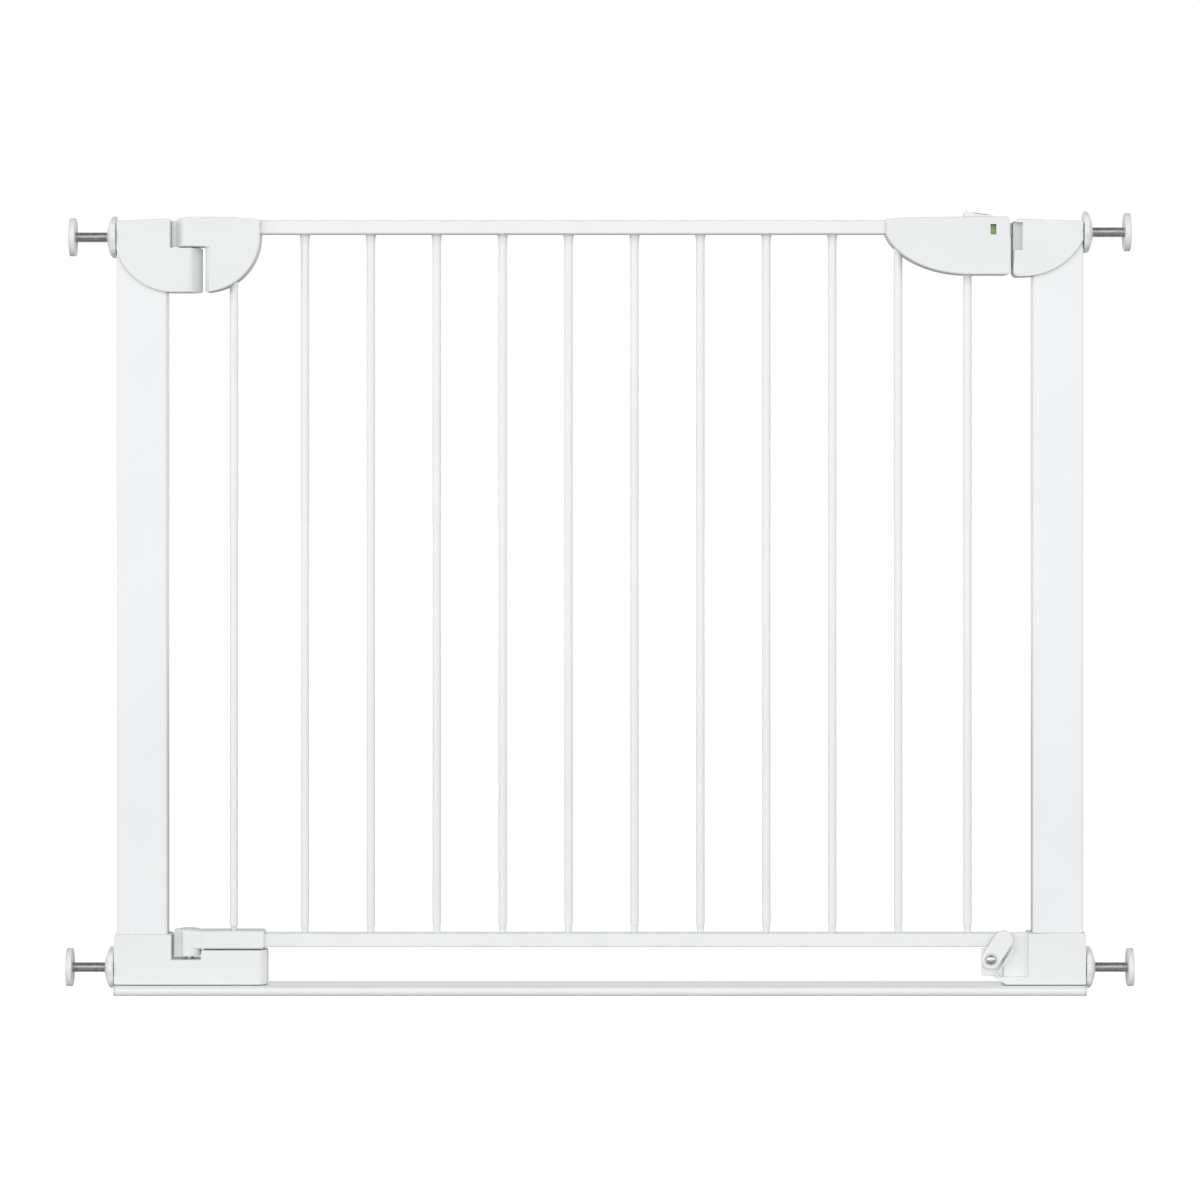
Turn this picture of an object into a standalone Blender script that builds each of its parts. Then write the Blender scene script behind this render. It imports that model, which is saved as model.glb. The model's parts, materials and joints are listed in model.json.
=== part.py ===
"""Pressure-fit safety gate: a U-shaped steel frame held between two walls by four screw spindles, with a
barred panel that lifts and swings on the left post and locks into a catch on the right post.

Millimetres in the constants and the helpers, metres in the scene. X runs along the gate, the front faces
-Y, Z is up, and the origin is on the floor at the middle of the base rail.
"""

from math import atan2, cos, pi, radians, sin, sqrt

import bmesh
import bpy
from mathutils import Vector

MM = 0.001
SEAT = 0.3  # gap between two pieces that touch

# base rail: a flat oval tube lying on the floor
RAIL_DEPTH = 50.0
RAIL_HEIGHT = 9.4
RAIL_NOSE = 4.2
RAIL_WALL = 1.4
RAIL_HALF = 454.2
RAIL_CAP = 2.0
RAIL_PLUG = 14.0

# posts: rectangular steel tubes
POST_INNER = 406.0
POST_OUTER = 454.0
POST_DEPTH = 25.0
POST_CORNER = 3.0
POST_WALL = 1.5
POST_FOOT = 12.6
POST_TOP = 724.4

# mouldings on the posts
HALF_DEPTH = 16.5
BASE_OUTER = 456.2
BASE_FLOOR = RAIL_HEIGHT + SEAT
BASE_TOP = 57.0
SOCKET_HALF = POST_DEPTH / 2 + SEAT
SOCKET_TOP = POST_TOP + SEAT

# hinge axis and its knuckles
HINGE_X = -386.4
PIN_R = 3.8
BORE_R = 4.1
UPPER_STEP = 701.2  # top of the fixed upper knuckle
UPPER_KNUCKLE = 702.1  # underside of the moving upper knuckle
LEDGE = 42.0
NOTCH_FLOOR = 33.2
NOTCH_LEFT = -402.2
NOTCH_RIGHT = -374.3
LOWER_KNUCKLE_R = 11.7
LOWER_KNUCKLE = (36.0, 61.5)
SLEEVE = (42.9, 60.1)

# gate panel
PANEL_RAIL_DEPTH = 20.0
PANEL_RAIL_WALL = 1.5
PANEL_RAIL_CORNER = 1.6
TOP_RAIL = (714.0, 727.2)
TOP_RAIL_X = (-352.0, 352.0)
BOTTOM_RAIL = (44.5, 57.5)
BOTTOM_RAIL_X = (-352.0, 373.5)
BAR_R = 4.0
BAR_FLARE_R = 4.9
BAR_NECK_R = 3.4
BAR_PITCH = 62.03
BAR_SECOND = -277.7
BAR_COUNT = 12
BAR_ENDS = (-344.5, 345.8)

# handle, lock and catch
HANDLE_X = (267.7, 384.8)
HANDLE_BOTTOM = 675.8
HANDLE_WALL = 2.4
CATCH_LEFT = 387.7
BOLT_HALF = 5.0
BOLT_Z = (711.5, 724.5)
BOLT_X = (358.6, 387.2)
BOLT_THROW = 6.0
BOLT_BACK = 6.0
STEM_X = (359.6, 365.4)
FLAG_Y = (-12.7, -11.2)
FLAG_END = 377.4
WINDOW_X = (366.1, 371.7)
WINDOW_Z = (713.4, 723.2)
SPRING_X = (331.4, 358.2)
SPRING_Y = 8.8
SPRING_Z = 704.0
SPRING_R = 3.0
SPRING_WIRE = 0.45
SPRING_TURNS = 8

# one-way stop
STOP_X = 366.6
STOP_Z = 33.2
STOP_R = 9.0
STOP_LENGTH = 22.2
STOP_LEAN = radians(33.0)
STOP_Y = (-16.3, -11.9)
PANEL_Y = -11.5  # floor of the recess beside the stop
RECESS_RIGHT = 402.0
RECESS_FLOOR = 17.2

# screw spindles: side, rod height, face that the hand nut bears on, pad face
LOWER_ROD = 24.8
SPINDLES = {
    "upper_left": (-1, 711.6, POST_OUTER + SEAT, 498.7),
    "upper_right": (1, 716.4, POST_OUTER + SEAT, 498.7),
    "lower_left": (-1, LOWER_ROD, BASE_OUTER + 0.4, 501.7),
    "lower_right": (1, LOWER_ROD, BASE_OUTER + 0.4, 501.7),
}
ROD_R = 4.9
ROD_TIP = 412.0
PAD_R = 18.0
PAD_THICK = 5.7
PAD_HOLE = 3.2
NUT_R = 19.6
NUT_THICK = 8.8
NUT_LOBES = 8
NUT_LOBE = 0.025
NUT_SEGMENTS = 32
GUIDE_R = 6.2
GUIDE_FLANGE_R = 7.1

WHITE_PAINT = ("painted_steel", (0.86, 0.86, 0.855), 0.35, 0.0)
WHITE_PLASTIC = ("white_moulding", (0.87, 0.87, 0.865), 0.42, 0.0)
ZINC = ("zinc_steel", (0.62, 0.62, 0.63), 0.3, 1.0)
SOFT_WHITE = ("soft_pad", (0.84, 0.84, 0.835), 0.6, 0.0)
GREEN = ("green_moulding", (0.25, 0.5, 0.06), 0.45, 0.0)
RED = ("red_moulding", (0.6, 0.03, 0.03), 0.45, 0.0)


def clear_scene():
    for item in list(bpy.data.objects):
        bpy.data.objects.remove(item)


def material(look):
    name, colour, roughness, metallic = look
    found = bpy.data.materials.get(name)
    if found:
        return found
    made = bpy.data.materials.new(name)
    made.use_nodes = True
    shader = made.node_tree.nodes["Principled BSDF"]
    shader.inputs["Base Color"].default_value = (*colour, 1.0)
    shader.inputs["Roughness"].default_value = roughness
    shader.inputs["Metallic"].default_value = metallic
    return made


def arc(centre, radius, start, end, steps, squash=1.0):
    """Points along a circular arc, elliptical when squash scales its second axis; angles in degrees."""
    points = []
    for i in range(steps + 1):
        angle = radians(start + (end - start) * i / steps)
        points.append((centre[0] + radius * cos(angle), centre[1] + squash * radius * sin(angle)))
    return points


def rounded_rectangle(low, high, radius, steps=3):
    """Outline with four round corners, counter-clockwise."""
    (x0, y0), (x1, y1) = low, high
    outline = []
    corners = ((x1, y0, -90), (x1, y1, 0), (x0, y1, 90), (x0, y0, 180))
    for x, y, start in corners:
        centre = (x - radius if x == x1 else x + radius, y - radius if y == y1 else y + radius)
        outline += arc(centre, radius, start, start + 90, steps)
    return outline


def extruded(outline, low, high, axis):
    """A closed prism: the outline runs in the plane across axis, in X, Y, Z order."""
    other = {"X": (1, 2, 0), "Y": (0, 2, 1), "Z": (0, 1, 2)}[axis]
    made = bmesh.new()
    ends = []
    for level in (low, high):
        ring = []
        for u, v in outline:
            place = [0.0, 0.0, 0.0]
            place[other[0]] = u
            place[other[1]] = v
            place[other[2]] = level
            ring.append(made.verts.new(place))
        ends.append(ring)
    made.faces.new(ends[0])
    made.faces.new(ends[1])
    count = len(outline)
    for i in range(count):
        j = (i + 1) % count
        made.faces.new((ends[0][i], ends[0][j], ends[1][j], ends[1][i]))
    bmesh.ops.recalc_face_normals(made, faces=made.faces)
    return made


def block(low, high):
    (x0, y0, z0), (x1, y1, z1) = low, high
    return extruded([(x0, y0), (x1, y0), (x1, y1), (x0, y1)], z0, z1, "Z")


def turned(profile, centre, axis, segments, bored=False, ripple=None):
    """A body of revolution: profile holds (distance along axis, radius); bored profiles are closed loops.

    ripple(radius, angle) may reshape each ring, for a lobed grip.
    """
    other = {"X": (0, 1, 2), "Y": (1, 0, 2), "Z": (2, 0, 1)}[axis]
    made = bmesh.new()
    rings = []
    for along, radius in profile:
        ring = []
        for i in range(segments if radius > 0 else 1):
            angle = 2 * pi * i / segments
            reach = ripple(radius, angle) if ripple else radius
            place = [0.0, 0.0, 0.0]
            place[other[0]] = centre[other[0]] + along
            place[other[1]] = centre[other[1]] + reach * cos(angle)
            place[other[2]] = centre[other[2]] + reach * sin(angle)
            ring.append(made.verts.new(place))
        rings.append(ring)
    pairs = list(zip(rings, rings[1:]))
    if bored:
        pairs.append((rings[-1], rings[0]))
    for lower, upper in pairs:
        for i in range(segments):
            j = (i + 1) % segments
            if len(lower) == 1:
                made.faces.new((lower[0], upper[i], upper[j]))
            elif len(upper) == 1:
                made.faces.new((lower[i], lower[j], upper[0]))
            else:
                made.faces.new((lower[i], lower[j], upper[j], upper[i]))
    if not bored:
        for ring in (rings[0], rings[-1]):
            if len(ring) > 1:
                made.faces.new(ring)
    bmesh.ops.recalc_face_normals(made, faces=made.faces)
    return made


def placed(name, shape, look, origin=(0, 0, 0), parent=None):
    """Turns a bmesh in world millimetres into an object whose origin is at the given point."""
    mesh = bpy.data.meshes.new(name)
    bmesh.ops.translate(shape, vec=-Vector(origin), verts=shape.verts)
    bmesh.ops.scale(shape, vec=(MM, MM, MM), verts=shape.verts)
    shape.to_mesh(mesh)
    shape.free()
    mesh.materials.append(material(look))
    mesh.shade_smooth()
    mesh.set_sharp_from_angle(angle=radians(35))
    made = bpy.data.objects.new(name, mesh)
    bpy.context.scene.collection.objects.link(made)
    attach(made, origin, parent)
    return made


def attach(made, origin, parent):
    """Puts an object at a point in world millimetres, under its parent."""
    made.location = Vector(origin) * MM
    made.parent = parent
    while parent:
        made.location -= parent.location
        parent = parent.parent


def operate(target, shape, operation):
    """Cuts, joins or intersects the target with a helper shape that stays out of the render."""
    helper = placed(f"{target.name}_{operation.lower()}_{len(target.modifiers)}", shape, WHITE_PLASTIC)
    helper.hide_render = True
    helper.display_type = "WIRE"
    step = target.modifiers.new(operation.title(), "BOOLEAN")
    step.operation = operation
    step.solver = "EXACT"
    step.object = helper


def cut(target, *shapes):
    for shape in shapes:
        operate(target, shape, "DIFFERENCE")


def join(target, *shapes):
    for shape in shapes:
        operate(target, shape, "UNION")


def keep(target, shape):
    operate(target, shape, "INTERSECT")


def joint_empty(name, place, parent=None):
    made = bpy.data.objects.new(name, None)
    bpy.context.scene.collection.objects.link(made)
    attach(made, place, parent)
    return made


def rod_shape(low, high, radius, centre, axis, segments=16, chamfer=0.0):
    """A plain round bar between two levels, with chamfered ends if asked."""
    profile = [(low, radius), (high, radius)]
    if chamfer:
        profile = [
            (low, radius - chamfer),
            (low + chamfer, radius),
            (high - chamfer, radius),
            (high, radius - chamfer),
        ]
    return turned(profile, centre, axis, segments)


# ---------------------------------------------------------------- frame


def base_rail():
    half = RAIL_DEPTH / 2
    outline = rounded_rectangle((-half, 0), (half, RAIL_HEIGHT), RAIL_NOSE, 4)
    rail = placed("base_rail", extruded(outline, -RAIL_HALF, RAIL_HALF, "X"), WHITE_PAINT)
    inner = rounded_rectangle(
        (-half + RAIL_WALL, RAIL_WALL), (half - RAIL_WALL, RAIL_HEIGHT - RAIL_WALL), RAIL_NOSE - RAIL_WALL, 3
    )
    cut(rail, extruded(inner, -RAIL_HALF - 1, RAIL_HALF + 1, "X"))
    gap = RAIL_WALL + SEAT
    plug = rounded_rectangle((-half + gap, gap), (half - gap, RAIL_HEIGHT - gap), RAIL_NOSE - gap, 3)
    for side, name in ((-1, "base_rail_cap_left"), (1, "base_rail_cap_right")):
        face = sorted((side * (RAIL_HALF + SEAT), side * (RAIL_HALF + RAIL_CAP)))
        cap = placed(name, extruded(outline, *face, "X"), WHITE_PLASTIC)
        reach = sorted((side * (RAIL_HALF - RAIL_PLUG), side * (RAIL_HALF + SEAT + 1)))
        join(cap, extruded(plug, *reach, "X"))


def post(side):
    """A rectangular tube with a round hole in its outer wall for each spindle guide."""
    low, high = sorted((side * POST_INNER, side * POST_OUTER))
    half = POST_DEPTH / 2
    name = "left_post" if side < 0 else "right_post"
    outline = rounded_rectangle((low, -half), (high, half), POST_CORNER, 3)
    tube = placed(name, extruded(outline, POST_FOOT, POST_TOP, "Z"), WHITE_PAINT)
    wall = POST_WALL
    inner = rounded_rectangle((low + wall, -half + wall), (high - wall, half - wall), POST_CORNER - wall, 3)
    cut(tube, extruded(inner, POST_FOOT - 1, POST_TOP + 1, "Z"))
    for edge, height, _, _ in SPINDLES.values():
        if edge == side:
            reach = sorted((side * (POST_OUTER - 4), side * (POST_OUTER + 4)))
            cut(tube, rod_shape(*reach, GUIDE_R + SEAT, (0, 0, height), "X"))


def post_socket(side, floor, top, reach):
    """The space inside a moulding that the post fills; reach says how far it opens outwards."""
    low, high = sorted((side * (POST_INNER - SEAT), side * reach))
    return block((low, -SOCKET_HALF, floor), (high, SOCKET_HALF, top))


def hinge_housing():
    """Moulding on the left post's top, with the fixed upper knuckle."""
    curve_centre = (-400.3, 714.7)
    curve_r = 55.6
    outer = -453.7
    start = 180 + atan2(curve_centre[1] - 697.0, curve_centre[0] - outer) * 180 / pi
    right = -373.6
    outline = [(outer, 726.4), (outer, 699.0)]
    outline += arc(curve_centre, curve_r, start, 270, 12)
    outline += [(right, curve_centre[1] - curve_r), (right, UPPER_STEP)]
    outline += [(-403.2, UPPER_STEP), (-403.2, 728.0), (-404.4, 729.0)]
    housing = placed("hinge_housing", extruded(outline, -HALF_DEPTH, HALF_DEPTH, "Y"), WHITE_PLASTIC)
    knuckle_centre = -383.0
    nose = right - knuckle_centre
    back = 14.6
    plan = [(-460, -HALF_DEPTH)]
    plan += arc((knuckle_centre, 0), nose, -90, 0, 8, HALF_DEPTH / nose)
    plan += arc((knuckle_centre, 0), nose, 0, 90, 8, back / nose)[1:]
    plan += [(-404.2, back + 0.6), (-404.2, HALF_DEPTH), (-460, HALF_DEPTH)]
    keep(housing, extruded(plan, 640, 740, "Z"))
    cut(
        housing,
        post_socket(-1, 650, SOCKET_TOP, 460),
        rod_shape(UPPER_STEP - 30, UPPER_STEP + 2, BORE_R, (HINGE_X, 0, 0), "Z", 20),
    )


def catch_housing():
    """Moulding on the right post's top, with the pocket that the lock bolt enters."""
    centre_x = 397.0
    curve_r = 63.5
    bottom = 673.8
    outer = 453.6
    corner = 4.6
    outline = [(CATCH_LEFT, 725.5), (CATCH_LEFT, bottom + corner)]
    outline += arc((CATCH_LEFT + corner, bottom + corner), corner, 180, 270, 4)
    outline += arc((centre_x, bottom + curve_r), curve_r, 270, 270 + 61.8, 12)
    outline += [(outer, 708.0), (outer, 726.4), (393.6, 728.4), (390.0, 727.4)]
    housing = placed("catch_housing", extruded(outline, -HALF_DEPTH, HALF_DEPTH, "Y"), WHITE_PLASTIC)
    low, high = BOLT_Z
    cut(
        housing,
        post_socket(1, 650, SOCKET_TOP, 460),
        block((CATCH_LEFT - 2, -HALF_DEPTH - 2, 698.8), (396.4, -10.0, 725.0)),
        block((CATCH_LEFT - 2, -BOLT_HALF - 0.5, low - 0.5), (399.5, BOLT_HALF + 0.5, high + 0.5)),
    )


def base_hinge_housing():
    """Moulding at the left post's foot: socket, lower knuckle's notch and the ledge under the panel."""
    right = -311.0
    outline = [
        (-BASE_OUTER, BASE_FLOOR),
        (right, BASE_FLOOR),
        (right, LEDGE),
        (NOTCH_RIGHT, LEDGE),
        (NOTCH_RIGHT, NOTCH_FLOOR),
        (NOTCH_LEFT, NOTCH_FLOOR),
        (NOTCH_LEFT, BASE_TOP),
        (-BASE_OUTER, BASE_TOP),
    ]
    housing = placed("base_hinge_housing", extruded(outline, -HALF_DEPTH, HALF_DEPTH, "Y"), WHITE_PLASTIC)
    end_r = 7.0
    side_r = 1.5
    plan = arc((right - end_r, -HALF_DEPTH + end_r), end_r, -90, 0, 6)
    plan += arc((right - end_r, HALF_DEPTH - end_r), end_r, 0, 90, 6)
    plan += arc((-BASE_OUTER + side_r, HALF_DEPTH - side_r), side_r, 90, 180, 3)
    plan += arc((-BASE_OUTER + side_r, -HALF_DEPTH + side_r), side_r, 180, 270, 3)
    keep(housing, extruded(plan, 0, 100, "Z"))
    cut(
        housing,
        post_socket(-1, POST_FOOT - SEAT, 60, POST_OUTER + SEAT),
        rod_shape(14, NOTCH_FLOOR + 2, BORE_R, (HINGE_X, 0, 0), "Z", 20),
        rod_shape(-460, -450, ROD_R + SEAT, (0, 0, LOWER_ROD), "X"),
    )


def stop_direction():
    """Unit vectors along the resting stop lever and square to it, to its right."""
    along = Vector((sin(STOP_LEAN), cos(STOP_LEAN)))
    across = Vector((cos(STOP_LEAN), -sin(STOP_LEAN)))
    return along, across


def base_catch_housing():
    """Moulding at the right post's foot: socket, recess beside the stop, and the panel's closing ledge."""
    left = 378.8
    outline = [(left, BASE_FLOOR), (BASE_OUTER, BASE_FLOOR), (BASE_OUTER, 58.4), (left, 58.4)]
    housing = placed("base_catch_housing", extruded(outline, -HALF_DEPTH, HALF_DEPTH, "Y"), WHITE_PLASTIC)
    plan = rounded_rectangle((left, -HALF_DEPTH), (BASE_OUTER, HALF_DEPTH), 1.5, 3)
    keep(housing, extruded(plan, 0, 100, "Z"))
    cut(
        housing,
        post_socket(1, POST_FOOT - SEAT, 60, POST_OUTER + SEAT),
        block((left - 3, -HALF_DEPTH - 2, RECESS_FLOOR), (RECESS_RIGHT, PANEL_Y, 60)),
        block((left - 3, -6.4, 45.6), (RECESS_RIGHT, HALF_DEPTH + 2, 60)),
        rod_shape(450, 460, ROD_R + SEAT, (0, 0, LOWER_ROD), "X"),
    )
    along, across = stop_direction()
    pivot = Vector((STOP_X, STOP_Z))
    rib = [
        pivot + along * -13.0 + across * 11.6,
        pivot + along * -13.0 + across * 12.9,
        pivot + along * 21.0 + across * 12.9,
        pivot + along * 21.0 + across * 11.6,
    ]
    foot = [(left + 3, BASE_FLOOR + 0.6), (left + 3, RECESS_FLOOR), (372.2, RECESS_FLOOR), (370.0, 15.4)]
    join(
        housing,
        extruded(foot, -HALF_DEPTH, PANEL_Y + 0.2, "Y"),
        extruded([tuple(point) for point in rib], -HALF_DEPTH + 0.2, PANEL_Y + 0.2, "Y"),
    )


def stop_mount():
    """The plate that carries the stop, and the domed screw that it turns on."""
    plate = rounded_rectangle((358.0, RECESS_FLOOR), (378.4, 43.9), 1.5, 2)
    front, back = PANEL_Y + 0.6, PANEL_Y + 4.6
    bracket = placed("stop_bracket", extruded(plate, front, back, "Y"), WHITE_PLASTIC)
    cut(bracket, rod_shape(front - 1, back + 1, 2.9, (STOP_X, 0, STOP_Z), "Y"))
    head_y = STOP_Y[0] - SEAT
    dome_r = 4.6
    dome = [(head_y - 2.4 * sin(radians(a)), dome_r * cos(radians(a))) for a in range(90, -1, -15)]
    dome[0] = (head_y - 2.4, 0)
    profile = dome + [(head_y, 2.6), (back - 0.5, 2.6), (back, 2.1)]
    placed("stop_screw", turned(profile, (STOP_X, 0, STOP_Z), "Y", 20), ZINC)


def stop_lever():
    """Flat lever with round ends, leaning on its rib; it stops the panel from swinging to the front."""
    pivot_empty = joint_empty("swing_stop_axis", (STOP_X, 0, STOP_Z))
    along, _ = stop_direction()
    tip = Vector((STOP_X, STOP_Z)) + along * STOP_LENGTH
    lean = 90 - STOP_LEAN * 180 / pi
    outline = arc((STOP_X, STOP_Z), STOP_R, lean + 90, lean + 270, 12)
    outline += arc(tuple(tip), STOP_R, lean - 90, lean + 90, 12)
    arm = extruded(outline, *STOP_Y, "Y")
    lever = placed("stop_lever", arm, WHITE_PLASTIC, (STOP_X, 0, STOP_Z), pivot_empty)
    cut(lever, rod_shape(-20, -8, 2.9, (STOP_X, 0, STOP_Z), "Y"))


# ---------------------------------------------------------------- panel


def hinge_pins(parent):
    """The two pins rise with the panel and turn in its knuckles."""
    axis = (HINGE_X, 0, 0)
    upper = rod_shape(UPPER_STEP - 28, UPPER_KNUCKLE + 17, PIN_R, axis, "Z", 20, 0.8)
    placed("upper_hinge_pin", upper, ZINC, axis, parent)
    lower = rod_shape(NOTCH_FLOOR - 17, LOWER_KNUCKLE[0] + 17, PIN_R, axis, "Z", 20, 0.8)
    placed("lower_hinge_pin", lower, ZINC, axis, parent)


def panel_rail(name, span, levels, parent):
    half = PANEL_RAIL_DEPTH / 2
    low, high = levels
    outline = rounded_rectangle((-half, low), (half, high), PANEL_RAIL_CORNER, 3)
    rail = placed(name, extruded(outline, *span, "X"), WHITE_PAINT, (HINGE_X, 0, 0), parent)
    wall = PANEL_RAIL_WALL
    cut(rail, block((span[0] - 1, -half + wall, low + wall), (span[1] + 1, half - wall, high - wall)))


def bar_places():
    middle = [BAR_SECOND + BAR_PITCH * i for i in range(BAR_COUNT - 2)]
    return [BAR_ENDS[0], *middle, BAR_ENDS[1]]


def bars(parent):
    """Round bars, spread a little where they are welded under the top rail and drawn in at the foot."""
    low = BOTTOM_RAIL[1] + SEAT
    high = TOP_RAIL[0] - SEAT
    foot = [(low, BAR_NECK_R), (low + 6, BAR_R)]
    head = [(high - 11, BAR_R), (high - 3, BAR_R + 0.3), (high, BAR_FLARE_R)]
    for i, x in enumerate(bar_places()):
        shape = turned(foot + head, (x, 0, 0), "Z", 14)
        placed(f"bar_{i + 1:02d}", shape, WHITE_PAINT, (HINGE_X, 0, 0), parent)


def rail_pocket(span, levels):
    half = PANEL_RAIL_DEPTH / 2 + SEAT
    low, high = levels
    return block((span[0], -half, low - SEAT), (span[1], half, high + SEAT))


def panel_hinge(parent):
    """Moulding on the panel's upper left corner, with the moving upper knuckle."""
    curve_centre = (-372.2, 712.8)
    curve_r = 53.4
    left = -398.4
    shoulder = -370.6
    shoulder_r = 4.5
    right = curve_centre[0] + curve_r
    end = 270 + atan2(shoulder - curve_centre[0], curve_r) * 180 / pi
    outline = arc(curve_centre, curve_r, end, 360, 12)
    outline += [(right, 726.6), (right - 1.8, 728.5), (-351.6, 730.2), (-384.4, 730.2), (left, 728.6)]
    outline += [(left, UPPER_KNUCKLE), (shoulder, UPPER_KNUCKLE)]
    body = extruded(outline, -HALF_DEPTH, HALF_DEPTH, "Y")
    moulding = placed("panel_hinge", body, WHITE_PLASTIC, (HINGE_X, 0, 0), parent)
    knuckle_centre = -387.2
    nose = knuckle_centre - left
    plan = arc((knuckle_centre, 0), nose, 90, 270, 16, HALF_DEPTH / nose)
    plan += [(-300, -HALF_DEPTH), (-300, HALF_DEPTH)]
    keep(moulding, extruded(plan, 640, 740, "Z"))
    join(moulding, block((left - 4.0, -4.0, UPPER_KNUCKLE + 0.5), (left + 2.5, 1.5, 727.0)))
    rounding = [(shoulder - 1, -HALF_DEPTH - 1), (shoulder + shoulder_r, -HALF_DEPTH - 1)]
    rounding += arc((shoulder + shoulder_r, -HALF_DEPTH + shoulder_r), shoulder_r, 270, 180, 5)
    rounding += [(shoulder - 1, -HALF_DEPTH + shoulder_r)]
    cut(
        moulding,
        extruded(rounding, 650, UPPER_KNUCKLE, "Z"),
        rail_pocket((TOP_RAIL_X[0] - SEAT, -300), TOP_RAIL),
        rod_shape(650, TOP_RAIL[0] + 1, BAR_FLARE_R + 0.5, (BAR_ENDS[0], 0, 0), "Z"),
        rod_shape(UPPER_KNUCKLE - 2, UPPER_KNUCKLE + 17.4, BORE_R, (HINGE_X, 0, 0), "Z", 20),
    )


def lower_hinge_sleeve(parent):
    """Moulding on the panel's lower left corner: the lower knuckle and the sleeve over the rail's end."""
    low, high = LOWER_KNUCKLE
    knuckle = rod_shape(low, high, LOWER_KNUCKLE_R, (HINGE_X, 0, 0), "Z", 32, 0.6)
    moulding = placed("lower_hinge_sleeve", knuckle, WHITE_PLASTIC, (HINGE_X, 0, 0), parent)
    join(
        moulding,
        block((-400.2, -9.0, low), (HINGE_X, 4.0, high - 0.5)),
        block((HINGE_X, -LOWER_KNUCKLE_R, SLEEVE[0]), (-313.6, LOWER_KNUCKLE_R, SLEEVE[1])),
        block((-374.0, -13.2, SLEEVE[0]), (-313.6, 13.2, SLEEVE[1])),
    )
    cut(
        moulding,
        block((BOTTOM_RAIL_X[0] - SEAT, -10.3, BOTTOM_RAIL[0] - SEAT), (-300, 10.3, BOTTOM_RAIL[1] + SEAT)),
        rod_shape(55, 70, BAR_NECK_R + 0.8, (BAR_ENDS[0], 0, 0), "Z"),
        rod_shape(low - 2, low + 17.4, BORE_R, (HINGE_X, 0, 0), "Z", 20),
    )


def rail_end_catch(parent):
    """Plug in the lower rail's free end, with the tongue that closes into the foot of the right post."""
    x = BOTTOM_RAIL_X[1]
    low, high = BOTTOM_RAIL
    half = PANEL_RAIL_DEPTH / 2
    face = rounded_rectangle((-half, low), (half, high), PANEL_RAIL_CORNER, 2)
    shape = extruded(face, x + SEAT, x + 3.3, "X")
    plug = placed("rail_end_catch", shape, WHITE_PLASTIC, (HINGE_X, 0, 0), parent)
    gap = PANEL_RAIL_WALL + SEAT
    join(
        plug,
        block((x - 14, -half + gap, low + gap), (x + 1.5, half - gap, high - gap)),
        block((x + 2, -5.8, low + 2.2), (393.5, 5.0, high - 2.0)),
    )


# ---------------------------------------------------------------- handle and lock


def handle_outline(inset):
    """Boat-shaped side outline of the handle, drawn in by inset on every side."""
    left, right = HANDLE_X[0] + inset, HANDLE_X[1] - inset
    centre_x, centre_z = 346.9, 728.0
    half_length = 82.0 - inset
    half_height = centre_z - HANDLE_BOTTOM - inset
    share = (centre_x - left) / half_length
    clipped = 180 - degrees_of(sqrt(1 - share**2), share)
    corner = 2.8
    outline = [(left, 728.3 - inset)]
    outline += arc((centre_x, centre_z), half_length, 360 - clipped, 270, 14, half_height / half_length)
    outline += arc((right - corner, HANDLE_BOTTOM + inset + corner), corner, 270, 360, 4)
    outline += [(right, 730.6 - inset), (318.8, 730.2 - inset), (285.9, 729.6 - inset)]
    return outline


def degrees_of(opposite, adjacent):
    return atan2(opposite, adjacent) * 180 / pi


SCREW_PLACES = ((318.0, 699.0), (372.0, 689.0))


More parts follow.
